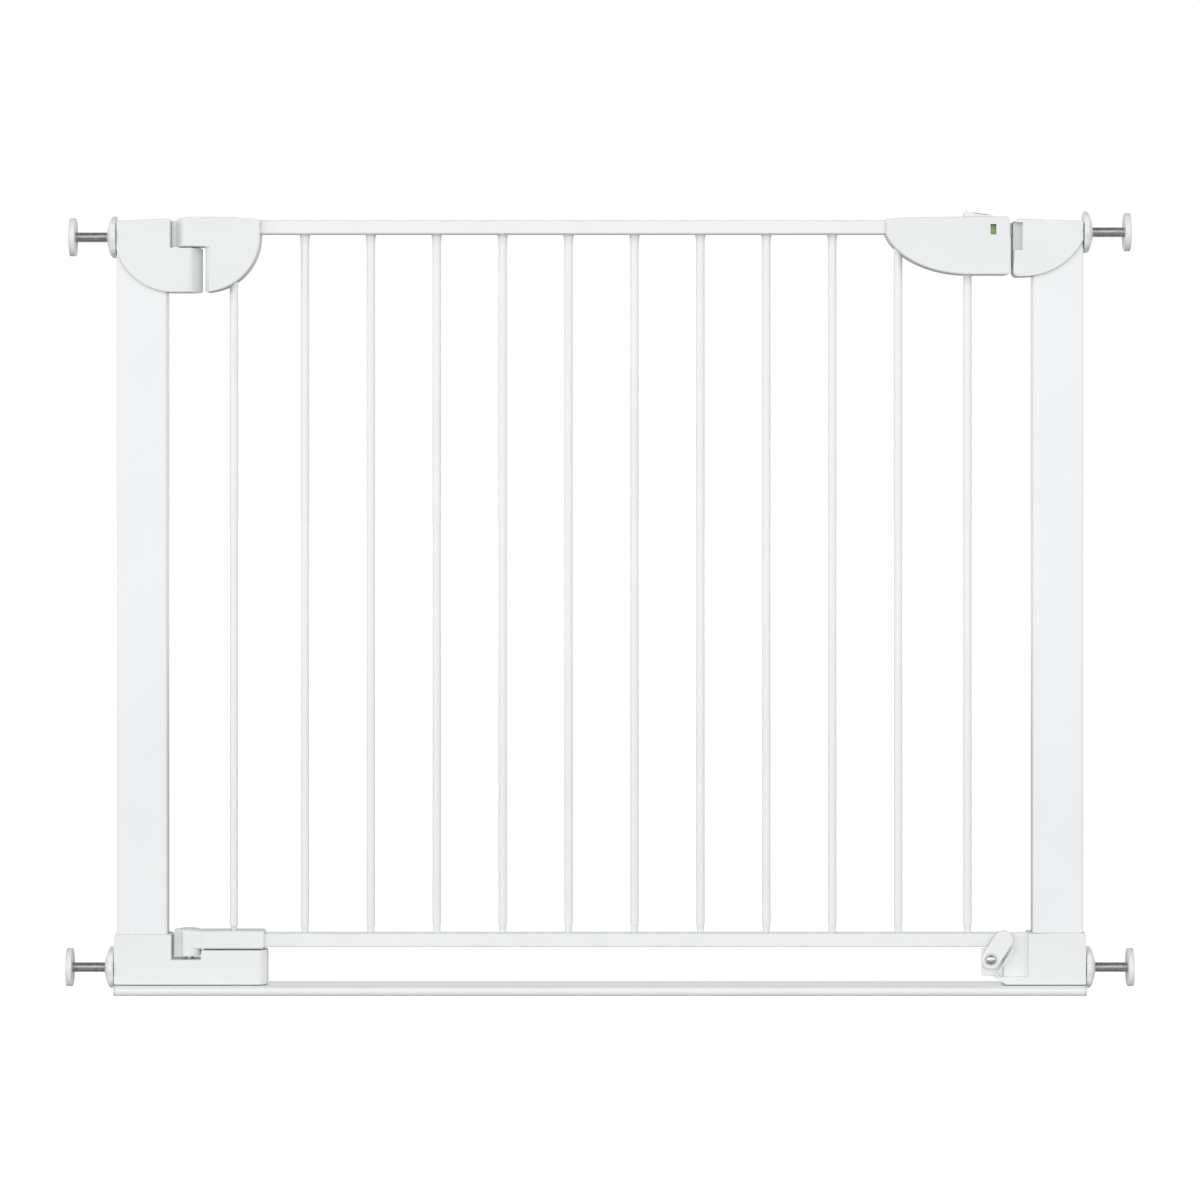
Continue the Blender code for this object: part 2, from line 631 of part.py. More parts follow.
def handle_shell(front, parent):
    """Half of the hollow handle; the halves meet on the panel's middle plane."""
    name = "handle_front" if front else "handle_back"
    low, high = (-HALF_DEPTH, -SEAT / 2) if front else (SEAT / 2, HALF_DEPTH)
    shell = placed(name, extruded(handle_outline(0), low, high, "Y"), WHITE_PLASTIC, (HINGE_X, 0, 0), parent)
    nose_r = 6.0
    left, right = HANDLE_X
    plan = arc((left + nose_r, HALF_DEPTH - nose_r), nose_r, 90, 180, 5)
    plan += arc((left + nose_r, -HALF_DEPTH + nose_r), nose_r, 180, 270, 5)
    plan += arc((right - 1.5, -HALF_DEPTH + 1.5), 1.5, 270, 360, 3)
    plan += arc((right - 1.5, HALF_DEPTH - 1.5), 1.5, 0, 90, 3)
    keep(shell, extruded(plan, 600, 800, "Z"))
    inner = HALF_DEPTH - HANDLE_WALL
    cut(shell, extruded(handle_outline(HANDLE_WALL), -inner, inner, "Y"))
    boss = (low + 1, high) if front else (low, high - 1)
    for x, z in SCREW_PLACES:
        join(shell, rod_shape(*boss, 4.2, (x, 0, z), "Y"))
    if not front:
        stop = SPRING_X[0] - SEAT
        join(shell, block((stop - 2.7, 5.0, SPRING_Z - 5), (stop, inner + 1, SPRING_Z + 5)))
    bolt_low, bolt_high = BOLT_Z[0] - SEAT, BOLT_Z[1] + SEAT
    cut(
        shell,
        rail_pocket((250, TOP_RAIL_X[1] + SEAT), TOP_RAIL),
        rod_shape(660, TOP_RAIL[0] + 1, BAR_R + 0.5, (bar_places()[-2], 0, 0), "Z"),
        rod_shape(660, TOP_RAIL[0] + 1, BAR_R + 0.5, (bar_places()[-1], 0, 0), "Z"),
        rod_shape(700, TOP_RAIL[0] + 1, BAR_FLARE_R + 0.5, (bar_places()[-2], 0, 0), "Z"),
        rod_shape(700, TOP_RAIL[0] + 1, BAR_FLARE_R + 0.5, (bar_places()[-1], 0, 0), "Z"),
        block((right - 5, -BOLT_HALF - SEAT, bolt_low), (right + 2, BOLT_HALF + SEAT, bolt_high)),
        block((STEM_X[0] - BOLT_BACK - 0.8, -3.3, 722), (STEM_X[1] + BOLT_THROW + 0.8, 3.3, 735)),
    )
    if front:
        relief = (right - 3, FLAG_Y[0] - 0.6, BOLT_Z[0] - 1)
        cut(
            shell,
            block((WINDOW_X[0], -20, WINDOW_Z[0]), (WINDOW_X[1], -10, WINDOW_Z[1])),
            block(relief, (FLAG_END + BOLT_THROW + 0.6, -BOLT_HALF + 0.6, BOLT_Z[1] + 1)),
        )
    for x, z in SCREW_PLACES:
        if front:
            cut(shell, rod_shape(-11, 1, 1.9, (x, 0, z), "Y"))
        else:
            stepped = [(-1, 1.9), (13.6, 1.9), (13.6, 3.7), (18, 3.7)]
            cut(shell, turned(stepped, (x, 0, z), "Y", 16))


def handle_screws(parent):
    for i, (x, z) in enumerate(SCREW_PLACES):
        head = 13.9
        profile = [(-9.5, 0.9), (-8.0, 1.6), (head, 1.6), (head, 3.3), (head + 1.4, 3.3), (head + 2.2, 2.2)]
        shape = turned(profile, (x, 0, z), "Y", 16)
        screw = placed(f"handle_screw_{i + 1}", shape, ZINC, (HINGE_X, 0, 0), parent)
        slot = [(x + 1.5 * cos(a), z + 1.5 * sin(a)) for a in (pi / 3 * k for k in range(6))]
        cut(screw, extruded(slot, head + 0.8, head + 3, "Y"))


def thumb_slide(parent):
    """Ribbed ramp on top of the handle; its stem reaches through the slot onto the bolt."""
    base = 731.0
    crest = 735.6
    outline = [(342.0, base), (369.5, base), (369.5, base + 0.5)]
    outline += [(347.0, crest - 0.3), (343.6, crest), (342.0, crest - 1.4)]
    wedge = extruded(outline, -8.0, 8.0, "Y")
    slide = placed("thumb_slide", wedge, WHITE_PLASTIC, (BOLT_X[0], 0, BOLT_Z[0]), parent)
    join(slide, block((STEM_X[0], -3.0, BOLT_Z[1] + SEAT), (STEM_X[1], 3.0, base + 0.6)))


def lock_bolt(parent):
    """Bolt with a lug for its spring and a boss that carries the two-colour flag behind the window."""
    low, high = BOLT_Z
    nose = 1.2
    left, right = BOLT_X
    outline = [(left, low), (right - nose, low), (right, low + nose)]
    outline += [(right, high - nose), (right - nose, high), (left, high)]
    body = extruded(outline, -BOLT_HALF, BOLT_HALF, "Y")
    bolt = placed("lock_bolt", body, WHITE_PLASTIC, (BOLT_X[0], 0, BOLT_Z[0]), parent)
    join(
        bolt,
        block((left, -4.0, SPRING_Z - 5), (left + 3.5, SPRING_Y + 4, low + 1)),
        block((left + 0.6, -10.9, low + 2), (376.0, -BOLT_HALF + 1, high - 2)),
    )
    for name, span, look in (
        ("green_flag", (357.0, 371.9), GREEN),
        ("red_flag", (371.9 + SEAT, FLAG_END), RED),
    ):
        plate = rounded_rectangle((span[0], low + 0.6), (span[1], high - 0.4), 0.8, 2)
        placed(name, extruded(plate, *FLAG_Y, "Y"), look, (BOLT_X[0], 0, BOLT_Z[0]), parent)


def bolt_spring(parent):
    """Helical spring between a wall of the handle and the bolt's lug."""
    length = SPRING_X[1] - SPRING_X[0] - 2 * SPRING_WIRE
    around = 10
    steps = SPRING_TURNS * around
    sides = 5
    made = bmesh.new()
    rings = []
    for i in range(steps + 1):
        turn = 2 * pi * i / around
        along = SPRING_X[0] + SPRING_WIRE + length * i / steps
        centre = Vector((along, SPRING_Y + SPRING_R * cos(turn), SPRING_Z + SPRING_R * sin(turn)))
        outward = Vector((0, cos(turn), sin(turn)))
        arc_step = SPRING_R * 2 * pi / around
        tangent = Vector((length / steps, -arc_step * sin(turn), arc_step * cos(turn)))
        side = tangent.normalized().cross(outward)
        ring = []
        for k in range(sides):
            angle = 2 * pi * k / sides
            ring.append(made.verts.new(centre + SPRING_WIRE * (cos(angle) * outward + sin(angle) * side)))
        rings.append(ring)
    for lower, upper in zip(rings, rings[1:]):
        for k in range(sides):
            j = (k + 1) % sides
            made.faces.new((lower[k], lower[j], upper[j], upper[k]))
    made.faces.new(rings[0])
    made.faces.new(rings[-1])
    bmesh.ops.recalc_face_normals(made, faces=made.faces)
    placed("bolt_spring", made, ZINC, (HINGE_X, 0, 0), parent)


# ---------------------------------------------------------------- spindles


def lobed(radius, angle):
    """Eight shallow finger lobes round the grip; the bore stays round."""
    if radius < ROD_R + 1:
        return radius
    return radius * (1 - NUT_LOBE * (1 - cos(NUT_LOBES * angle)))


def spindle(name, side, height, seat, pad_face):
    """Threaded rod with its wall pad, the guide in the post and the hand nut that drives the rod out."""
    axis = (0, 0, height)
    nut_empty = joint_empty(f"{name}_nut_axis", (side * seat, 0, height))
    rod_empty = joint_empty(f"{name}_rod_axis", (side * ROD_TIP, 0, height))

    bore = ROD_R + SEAT
    dome = [
        (0.0, bore),
        (0.0, NUT_R - 0.8),
        (0.9, NUT_R),
        (3.6, NUT_R),
        (5.0, NUT_R - 1.2),
        (6.3, NUT_R - 3.4),
        (7.4, NUT_R - 6.4),
        (8.3, NUT_R - 9.8),
        (NUT_THICK, 7.6),
        (NUT_THICK, bore),
    ]
    profile = [(side * (seat + along), radius) for along, radius in dome]
    shape = turned(profile, axis, "X", NUT_SEGMENTS, True, lobed)
    placed(f"{name}_hand_nut", shape, WHITE_PLASTIC, (side * seat, 0, height), nut_empty)

    pad_back = pad_face - PAD_THICK
    hole_floor = pad_back + PAD_HOLE
    rod_end = hole_floor - SEAT
    rod = rod_shape(*sorted((side * ROD_TIP, side * rod_end)), ROD_R, axis, "X", 16, 0.9)
    placed(f"{name}_rod", rod, ZINC, (side * ROD_TIP, 0, height), rod_empty)
    profile = [
        (pad_back, ROD_R + SEAT),
        (pad_back, PAD_R - 0.5),
        (pad_back + 0.5, PAD_R),
        (pad_face - 0.5, PAD_R),
        (pad_face, PAD_R - 0.5),
        (pad_face, 0),
        (hole_floor, 0),
        (hole_floor, ROD_R + SEAT),
    ]
    pad = turned_cup([(side * along, radius) for along, radius in profile], axis, 28)
    placed(f"{name}_wall_pad", pad, SOFT_WHITE, (side * ROD_TIP, 0, height), rod_empty)

    outer = POST_OUTER - 0.6
    guide = [
        (outer, bore),
        (outer, GUIDE_R),
        (POST_OUTER - POST_WALL - SEAT, GUIDE_R),
        (POST_OUTER - POST_WALL - SEAT, GUIDE_FLANGE_R),
        (POST_OUTER - POST_WALL - 3.0, GUIDE_FLANGE_R),
        (POST_OUTER - POST_WALL - 3.0, GUIDE_R),
        (POST_OUTER - 16.0, GUIDE_R),
        (POST_OUTER - 16.0, bore),
    ]
    ring = turned([(side * along, radius) for along, radius in guide], axis, "X", 16, bored=True)
    placed(f"{name}_rod_guide", ring, WHITE_PLASTIC)


def turned_cup(profile, centre, segments):
    """A revolved body whose closed profile touches the axis twice: a cup with a solid floor."""
    return turned(profile_from_axis(profile), centre, "X", segments)


def profile_from_axis(profile):
    """Starts and ends the profile at its two points on the axis."""
    first = next(i for i, point in enumerate(profile) if point[1] == 0)
    return profile[first + 1 :] + profile[: first + 1]


def build():
    clear_scene()
    base_rail()
    post(-1)
    post(1)
    hinge_housing()
    catch_housing()
    base_hinge_housing()
    base_catch_housing()
    stop_mount()
    stop_lever()

    lift = joint_empty("gate_lift_axis", (HINGE_X, 0, 0))
    swing = joint_empty("gate_swing_axis", (HINGE_X, 0, 0), lift)
    hinge_pins(lift)
    panel_rail("top_rail", TOP_RAIL_X, TOP_RAIL, swing)
    panel_rail("bottom_rail", BOTTOM_RAIL_X, BOTTOM_RAIL, swing)
    bars(swing)
    panel_hinge(swing)
    lower_hinge_sleeve(swing)
    rail_end_catch(swing)
    handle_shell(True, swing)
    handle_shell(False, swing)
    handle_screws(swing)
    bolt_spring(swing)
    lock = joint_empty("lock_slide_axis", (BOLT_X[0], 0, BOLT_Z[0]), swing)
    thumb_slide(lock)
    lock_bolt(lock)
    for name, (side, height, seat, pad_face) in SPINDLES.items():
        spindle(name, side, height, seat, pad_face)


build()
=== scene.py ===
"""Looks for the safety gate: softened mouldings, threaded rods, lobed nuts, welded bars, light.

Lengths are millimetres where the pieces are made, and metres in the scene and in the section on
the stage. The front faces -Y.
"""

import json
from math import acos, atan2, cos, pi, radians, sin, sqrt, tan

import bmesh
import bpy
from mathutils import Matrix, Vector


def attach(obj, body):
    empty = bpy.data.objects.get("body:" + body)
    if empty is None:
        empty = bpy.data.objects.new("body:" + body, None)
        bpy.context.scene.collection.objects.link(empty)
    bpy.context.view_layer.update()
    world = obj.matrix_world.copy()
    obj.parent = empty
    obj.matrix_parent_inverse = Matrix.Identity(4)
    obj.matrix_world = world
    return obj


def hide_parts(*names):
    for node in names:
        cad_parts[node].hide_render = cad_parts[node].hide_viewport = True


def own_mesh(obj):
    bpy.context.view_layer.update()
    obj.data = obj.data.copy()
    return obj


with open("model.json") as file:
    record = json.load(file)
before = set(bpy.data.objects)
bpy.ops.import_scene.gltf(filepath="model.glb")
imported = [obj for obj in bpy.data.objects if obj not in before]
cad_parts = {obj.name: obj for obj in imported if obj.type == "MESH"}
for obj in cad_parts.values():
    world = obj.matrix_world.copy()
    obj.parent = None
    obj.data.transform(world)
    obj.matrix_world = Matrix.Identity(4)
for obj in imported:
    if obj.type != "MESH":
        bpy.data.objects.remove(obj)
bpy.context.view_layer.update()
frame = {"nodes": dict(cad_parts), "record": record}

MM = 0.001
HALF = 16.5  # half depth of the mouldings
SKIN = 0.12  # the softened solids stay this far inside the facets of the frame
SHARP = radians(38)  # edges that turn further than this keep their crease
FINE_SHARP = radians(80)  # the same for wire and threads, whose facets turn further

# material slots of the record
PLASTIC_SLOT = "white_moulding"
PAINT_SLOT = "painted_steel"
ZINC_SLOT = "zinc_steel"
PAD_SLOT = "soft_pad"
GREEN_SLOT = "green_moulding"
RED_SLOT = "red_moulding"

# places taken from the frame: x of outer ends, heights of shared edges
HINGE_OUTER, CATCH_OUTER = -453.7, 453.6
BASE_OUTER = 456.2
BASE_FLOOR = 9.7  # underside of the base housings
HOUSING_TOP = 726.4  # outer top corner of both upper housings
HANDLE_LEFT, HANDLE_RIGHT = 267.7, 384.8
HINGE_X = -386.4
FIRST_BAR, SECOND_BAR, LAST_BAR, BAR_PITCH = -344.5, -277.7, 345.8, 62.03
TOP_RAIL, BOTTOM_RAIL = (714.0, 727.2), (44.5, 57.5)

# rounding radii
UPPER_RIMS = (1.2, 1.8)  # front and rear rims of the upper mouldings
BASE_RIMS = (0.6, 1.1)  # and of the base housings
RIM_STEPS = 5

# ---------------------------------------------------------------- materials


class Nodes:
    """A short way to build a node tree on the object's own coordinates."""

    def __init__(self, name):
        self.material = bpy.data.materials.new(name)
        self.material.use_nodes = True
        self.tree = self.material.node_tree
        self.shader = self.tree.nodes["Principled BSDF"]
        self.place = self.tree.nodes.new("ShaderNodeTexCoord").outputs["Object"]

    def link(self, source, target):
        self.tree.links.new(source, target)

    def stretch(self, scale):
        made = self.tree.nodes.new("ShaderNodeMapping")
        made.inputs["Scale"].default_value = scale
        self.link(self.place, made.inputs["Vector"])
        return made.outputs["Vector"]

    def noise(self, scale, detail=2.0, rough=0.5, vector=None):
        made = self.tree.nodes.new("ShaderNodeTexNoise")
        made.inputs["Scale"].default_value = scale
        made.inputs["Detail"].default_value = detail
        made.inputs["Roughness"].default_value = rough
        self.link(vector or self.place, made.inputs["Vector"])
        return made.outputs["Fac"]

    def cells(self, scale, vector=None):
        made = self.tree.nodes.new("ShaderNodeTexVoronoi")
        made.inputs["Scale"].default_value = scale
        self.link(vector or self.place, made.inputs["Vector"])
        return made.outputs["Distance"]

    def spread(self, source, low, high, start=0.3, end=0.7):
        made = self.tree.nodes.new("ShaderNodeMapRange")
        made.inputs["From Min"].default_value = start
        made.inputs["From Max"].default_value = end
        made.inputs["To Min"].default_value = low
        made.inputs["To Max"].default_value = high
        self.link(source, made.inputs["Value"])
        return made.outputs["Result"]

    def ramp(self, source, stops):
        made = self.tree.nodes.new("ShaderNodeValToRGB")
        ramp = made.color_ramp
        while len(ramp.elements) < len(stops):
            ramp.elements.new(0.5)
        for element, (position, colour) in zip(ramp.elements, stops):
            element.position = position
            element.color = (*colour, 1.0)
        self.link(source, made.inputs["Fac"])
        return made.outputs["Color"]

    def add(self, first, second, share):
        """first + second * share"""
        made = self.tree.nodes.new("ShaderNodeMath")
        made.operation = "MULTIPLY_ADD"
        made.inputs[1].default_value = share
        self.link(second, made.inputs[0])
        self.link(first, made.inputs[2])
        return made.outputs["Value"]

    def bump(self, source, strength, distance):
        made = self.tree.nodes.new("ShaderNodeBump")
        made.inputs["Strength"].default_value = strength
        made.inputs["Distance"].default_value = distance
        self.link(source, made.inputs["Height"])
        self.link(made.outputs["Normal"], self.shader.inputs["Normal"])

    def set(self, **values):
        for name, value in values.items():
            self.shader.inputs[name.replace("_", " ")].default_value = value


def powder_coat():
    """Baked white powder coat: an orange-peel skin under a thin gloss, with fine specks."""
    look = Nodes("white powder coat")
    peel = look.noise(520.0, 2.0, 0.45)
    specks = look.noise(2600.0, 1.0)
    drift = look.noise(14.0, 2.0)
    fine = look.add(drift, specks, 0.22)
    colour = look.ramp(fine, ((0.35, (0.78, 0.79, 0.797)), (0.85, (0.815, 0.82, 0.825))))
    look.link(colour, look.shader.inputs["Base Color"])
    gloss = look.spread(look.add(drift, peel, 0.5), 0.27, 0.38, 0.4, 1.1)
    look.link(gloss, look.shader.inputs["Roughness"])
    look.bump(look.add(peel, specks, 0.18), 0.16, 0.00012)
    look.set(Coat_Weight=0.8, Coat_Roughness=0.06, Specular_IOR_Level=0.5)
    return look.material


def moulding(name, low, high, grain, strength):
    """Moulded plastic with a spark-eroded grain, faint flow marks and a silky gloss."""
    look = Nodes(name)
    pits = look.cells(grain)
    texture = look.noise(grain * 0.8, 3.0, 0.6)
    flow = look.noise(9.0, 3.0, 0.55, look.stretch((1.0, 2.6, 1.7)))
    colour = look.ramp(look.add(flow, texture, 0.25), ((0.35, low), (0.9, high)))
    look.link(colour, look.shader.inputs["Base Color"])
    gloss = look.spread(look.add(flow, texture, 0.6), 0.36, 0.5, 0.4, 1.2)
    look.link(gloss, look.shader.inputs["Roughness"])
    look.bump(look.add(texture, pits, 0.6), strength, 0.00008)
    look.set(Specular_IOR_Level=0.5)
    return look.material


def zinc():
    """Bright zinc plate: crystalline cloudiness, fine turning marks and a few dull spots."""
    look = Nodes("bright zinc plate")
    turning = look.noise(900.0, 2.0, 0.6, look.stretch((3.0, 0.15, 0.15)))
    cloud = look.noise(240.0, 4.0, 0.6)
    spots = look.cells(420.0)
    tone = look.add(cloud, turning, 0.35)
    stops = ((0.3, (0.34, 0.34, 0.35)), (0.6, (0.48, 0.48, 0.49)), (0.9, (0.60, 0.60, 0.61)))
    look.link(look.ramp(tone, stops), look.shader.inputs["Base Color"])
    gloss = look.spread(look.add(tone, spots, 0.4), 0.12, 0.3, 0.4, 1.2)
    look.link(gloss, look.shader.inputs["Roughness"])
    look.bump(look.add(turning, cloud, 0.4), 0.12, 0.00006)
    look.set(Metallic=1.0)
    return look.material


def soft_face():
    """White non-slip rubber: dull, pebbled, a little warmer than the mouldings."""
    look = Nodes("white rubber face")
    pebble = look.cells(1100.0)
    dust = look.noise(60.0, 4.0, 0.6)
    stops = ((0.3, (0.76, 0.76, 0.75)), (0.9, (0.81, 0.81, 0.802)))
    look.link(look.ramp(look.add(dust, pebble, 0.3), stops), look.shader.inputs["Base Color"])
    gloss = look.spread(look.add(dust, pebble, 0.5), 0.55, 0.75, 0.3, 1.0)
    look.link(gloss, look.shader.inputs["Roughness"])
    look.bump(pebble, 0.35, 0.00015)
    look.set(Specular_IOR_Level=0.35)
    return look.material


def flag(name, low, high):
    """Coloured indicator moulding with a fine satin grain."""
    look = Nodes(name)
    grain = look.noise(1500.0, 3.0, 0.6)
    drift = look.noise(160.0, 2.0)
    colour = look.ramp(look.add(drift, grain, 0.3), ((0.3, low), (0.9, high)))
    look.link(colour, look.shader.inputs["Base Color"])
    look.link(look.spread(grain, 0.35, 0.55), look.shader.inputs["Roughness"])
    look.bump(grain, 0.2, 0.00005)
    return look.material


LOOKS = {
    PAINT_SLOT: powder_coat(),
    PLASTIC_SLOT: moulding(
        "white moulded plastic", (0.775, 0.782, 0.78), (0.815, 0.822, 0.82), 1900.0, 0.16
    ),
    ZINC_SLOT: zinc(),
    PAD_SLOT: soft_face(),
    GREEN_SLOT: flag("green indicator", (0.20, 0.36, 0.09), (0.33, 0.52, 0.16)),
    RED_SLOT: flag("red indicator", (0.45, 0.02, 0.02), (0.65, 0.05, 0.04)),
}
# stippled grain for recessed faces; its darker colour is painted shade, not the plastic's own
# tone
STIPPLED_AND_SHADED = moulding(
    "white stippled plastic, painted shade", (0.56, 0.565, 0.565), (0.79, 0.795, 0.795), 520.0, 1.0
)

# ---------------------------------------------------------------- outlines


def arc(centre, radius, start, end, steps, squash=1.0):
    """Points along a circular or squashed arc; angles in degrees."""
    points = []
    for i in range(steps + 1):
        angle = radians(start + (end - start) * i / steps)
        points.append((centre[0] + radius * cos(angle), centre[1] + squash * radius * sin(angle)))
    return points


def path(corners, steps=5):
    """Closed outline through (x, y) or (x, y, fillet radius) corners."""
    points = []
    count = len(corners)
    for i, corner in enumerate(corners):
        here = Vector(corner[:2])
        if len(corner) < 3:
            points.append(tuple(here))
            continue
        before = Vector(corners[i - 1][:2]) - here
        after = Vector(corners[(i + 1) % count][:2]) - here
        before.normalize()
        after.normalize()
        half = acos(max(-1.0, min(1.0, before.dot(after)))) / 2
        reach = corner[2] / tan(half)
        centre = here + (before + after).normalized() * (corner[2] / sin(half))
        first = here + before * reach - centre
        last = here + after * reach - centre
        start = atan2(first.y, first.x)
        sweep = (atan2(last.y, last.x) - start + pi) % (2 * pi) - pi
        for k in range(steps + 1):
            angle = start + sweep * k / steps
            x, y = centre.x + corner[2] * cos(angle), centre.y + corner[2] * sin(angle)
            points.append((x, y))
    return points


def inset(points, distance):
    """A counter-clockwise outline moved inwards."""
    moved = []
    count = len(points)
    for i, point in enumerate(points):
        here = Vector(point)
        back = (here - Vector(points[i - 1])).normalized()
        ahead = (Vector(points[(i + 1) % count]) - here).normalized()
        first = Vector((-back.y, back.x))
        second = Vector((-ahead.y, ahead.x))
        place = here + (first + second) * (distance / max(0.4, 1 + first.dot(second)))
        moved.append((place.x, place.y))
    return moved


def filleted(corners, radius, steps):
    """Outline through corners that all take one fillet radius."""
    return path([(*corner, radius) for corner in corners], steps)


def rectangle(low, high):
    """Corners of a rectangle, counter-clockwise."""
    return [(low[0], low[1]), (high[0], low[1]), (high[0], high[1]), (low[0], high[1])]


# ---------------------------------------------------------------- solids

PLANES = {"X": (1, 2, 0), "Y": (0, 2, 1), "Z": (0, 1, 2)}


def prism(outline, low, high, axis, soft_low=0.0, soft_high=0.0, steps=4):
    """A closed prism whose two rims are rounded over by the given radii."""
    levels = []
    for radius, level, sign in ((soft_low, low, 1), (soft_high, high, -1)):
        side = []
        for k in range(steps + 1 if radius else 1):
            angle = pi / 2 * k / steps
            side.append((radius * (1 - sin(angle)), level + sign * radius * (1 - cos(angle))))
        levels += side if sign > 0 else side[::-1]
    made = bmesh.new()
    across, up, along = PLANES[axis]
    rings = []
    for distance, level in levels:
        ring = []
        for u, v in inset(outline, distance) if distance else outline:
            place = [0.0, 0.0, 0.0]
            place[across], place[up], place[along] = u, v, level
            ring.append(made.verts.new(place))
        rings.append(ring)
    made.faces.new(rings[0])
    made.faces.new(rings[-1])
    count = len(outline)
    for lower, upper in zip(rings, rings[1:]):
        for i in range(count):
            j = (i + 1) % count
            made.faces.new((lower[i], lower[j], upper[j], upper[i]))
    bmesh.ops.recalc_face_normals(made, faces=made.faces)
    return made


def box(low, high, soft=0.0):
    """A block, its upright edges and its top and bottom rims rounded when soft is set."""
    corners = rectangle(low, high)
    if not soft:
        return prism(corners, low[2], high[2], "Z")
    # a fillet a little larger than the rim keeps the inset rings from crossing
    return prism(filleted(corners, soft * 1.02, 4), low[2], high[2], "Z", soft, soft)


def moulded(outline, steps, rims):
    """Full-depth form of a moulding, seen from the front as the outline."""
    return prism(path(outline, steps), -HALF + SKIN, HALF - SKIN, "Y", *rims, RIM_STEPS)


def turned(profile, centre, axis, segments, bored=False, ripple=None):
    """A body of revolution from (distance along axis, radius) points.

    A bored profile is a closed loop. ripple(level, radius, angle) gives a radius that varies
    round the axis.
    """
    along, across, up = {"X": (0, 1, 2), "Y": (1, 0, 2), "Z": (2, 0, 1)}[axis]
    made = bmesh.new()
    rings = []
    for level, radius in profile:
        ring = []
        for i in range(segments if radius > 0 else 1):
            angle = 2 * pi * i / segments
            reach = ripple(level, radius, angle) if ripple else radius
            place = [0.0, 0.0, 0.0]
            place[along] = centre[along] + level
            place[across] = centre[across] + reach * cos(angle)
            place[up] = centre[up] + reach * sin(angle)
            ring.append(made.verts.new(place))
        rings.append(ring)
    pairs = list(zip(rings, rings[1:]))
    if bored:
        pairs.append((rings[-1], rings[0]))
    for lower, upper in pairs:
        for i in range(segments):
            j = (i + 1) % segments
            if len(lower) == 1:
                made.faces.new((lower[0], upper[i], upper[j]))
            elif len(upper) == 1:
                made.faces.new((lower[i], lower[j], upper[0]))
            else:
                made.faces.new((lower[i], lower[j], upper[j], upper[i]))
    if not bored:
        for ring in (rings[0], rings[-1]):
            if len(ring) > 1:
                made.faces.new(ring)
    bmesh.ops.recalc_face_normals(made, faces=made.faces)
    return made


def planned(shape, plan, places):
    """Scales a solid's depth by plan(x), after slicing it at places so that its faces follow."""
    for x in places:
        geom = shape.verts[:] + shape.edges[:] + shape.faces[:]
        bmesh.ops.bisect_plane(shape, geom=geom, plane_co=(x, 0, 0), plane_no=(1, 0, 0))
    for vertex in shape.verts:
        vertex.co.y *= plan(vertex.co.x)
    return shape


def linked(name, data):
    made = bpy.data.objects.new(name, data)
    bpy.context.scene.collection.objects.link(made)
    return made


def object_of(name, shape, scale=MM):
    """Turns a bmesh into an object of the scene, from millimetres unless told otherwise."""
    mesh = bpy.data.meshes.new(name)
    bmesh.ops.scale(shape, vec=(scale, scale, scale), verts=shape.verts)
    shape.to_mesh(mesh)
    shape.free()
    return linked(name, mesh)


def combine(target, operation, shape):
    """Applies one exact Boolean to the target's own mesh."""
    helper = shape if isinstance(shape, bpy.types.Object) else object_of("helper", shape)
    step = target.modifiers.new("combine", "BOOLEAN")
    step.operation = operation
    step.solver = "EXACT"
    step.object = helper
    graph = bpy.context.evaluated_depsgraph_get()
    mesh = bpy.data.meshes.new_from_object(target.evaluated_get(graph))
    target.modifiers.clear()
    old = target.data
    target.data = mesh
    mesh.name = target.name
    bpy.data.meshes.remove(old)
    bpy.data.objects.remove(helper)
    return target


def finished(made, body, slot, nodes=(), smooth=SHARP):
    """Smooth shading, the slot's material, and what the piece rides on and stands for."""
    mesh = made.data
    mesh.materials.clear()
    mesh.materials.append(LOOKS[slot])
    for face in mesh.polygons:
        face.material_index = 0
    mesh.shade_smooth()
    mesh.set_sharp_from_angle(angle=smooth)
    weigh = made.modifiers.new("weigh", "WEIGHTED_NORMAL")
    weigh.keep_sharp = True
    weigh.weight = 80
    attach(made, body)
    if nodes:
        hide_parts(*nodes)
    return made


def piece(name, shape, body, slot, *nodes, smooth=SHARP):
    return finished(object_of(name, shape), body, slot, nodes, smooth)


def frame_copy(name, node):
    """A welded copy of a frame node's mesh, to be worked on."""
    shape = bmesh.new()
    shape.from_mesh(frame["nodes"][node].data)
    bmesh.ops.remove_doubles(shape, verts=shape.verts, dist=2e-6)
    flat = radians(0.5)
    bmesh.ops.dissolve_limit(shape, angle_limit=flat, verts=shape.verts, edges=shape.edges)
    mesh = bpy.data.meshes.new(name)
    shape.to_mesh(mesh)
    shape.free()
    return linked(name, mesh)


def softened(name, node, solid, body, slot):
    """The frame node with every cut it has, kept only inside a solid with rounded edges."""
    made = combine(frame_copy(name, node), "INTERSECT", solid)
    if not made.data.polygons:
        raise ValueError(f"{name} came out empty: a rim is rounder than its outline's corners")
    return finished(made, body, slot, (node,))


def stipple_and_shade(made, wanted):
    """Stippled grain and painted shade (a darker colour) on the faces that wanted(middle in
    millimetres, normal) picks.
    """
    made.data.materials.append(STIPPLED_AND_SHADED)
    for face in made.data.polygons:
        if wanted(face.center / MM, face.normal):
            face.material_index = 1


def wedge_plan(start, bend_r, turn, side):
    """Depth share of a knuckle whose corner turns over an arc into a flat slope, in plan.

    It begins at x = start and runs towards side; turn is in degrees. The x to slice at come
    with it.
    """
    reach = bend_r * sin(radians(turn))
    thinnest, slices = 0.03, 8

    def share(x):
        past = side * (x - start)
        if past <= 0:
            return 1.0
        bend = bend_r - sqrt(bend_r**2 - min(past, reach) ** 2)
        drop = bend + max(0.0, past - reach) * tan(radians(turn))
        return max(thinnest, 1 - drop / HALF)

    return share, [start + side * reach * k / (slices - 1) for k in range(slices)]


# ---------------------------------------------------------------- frame


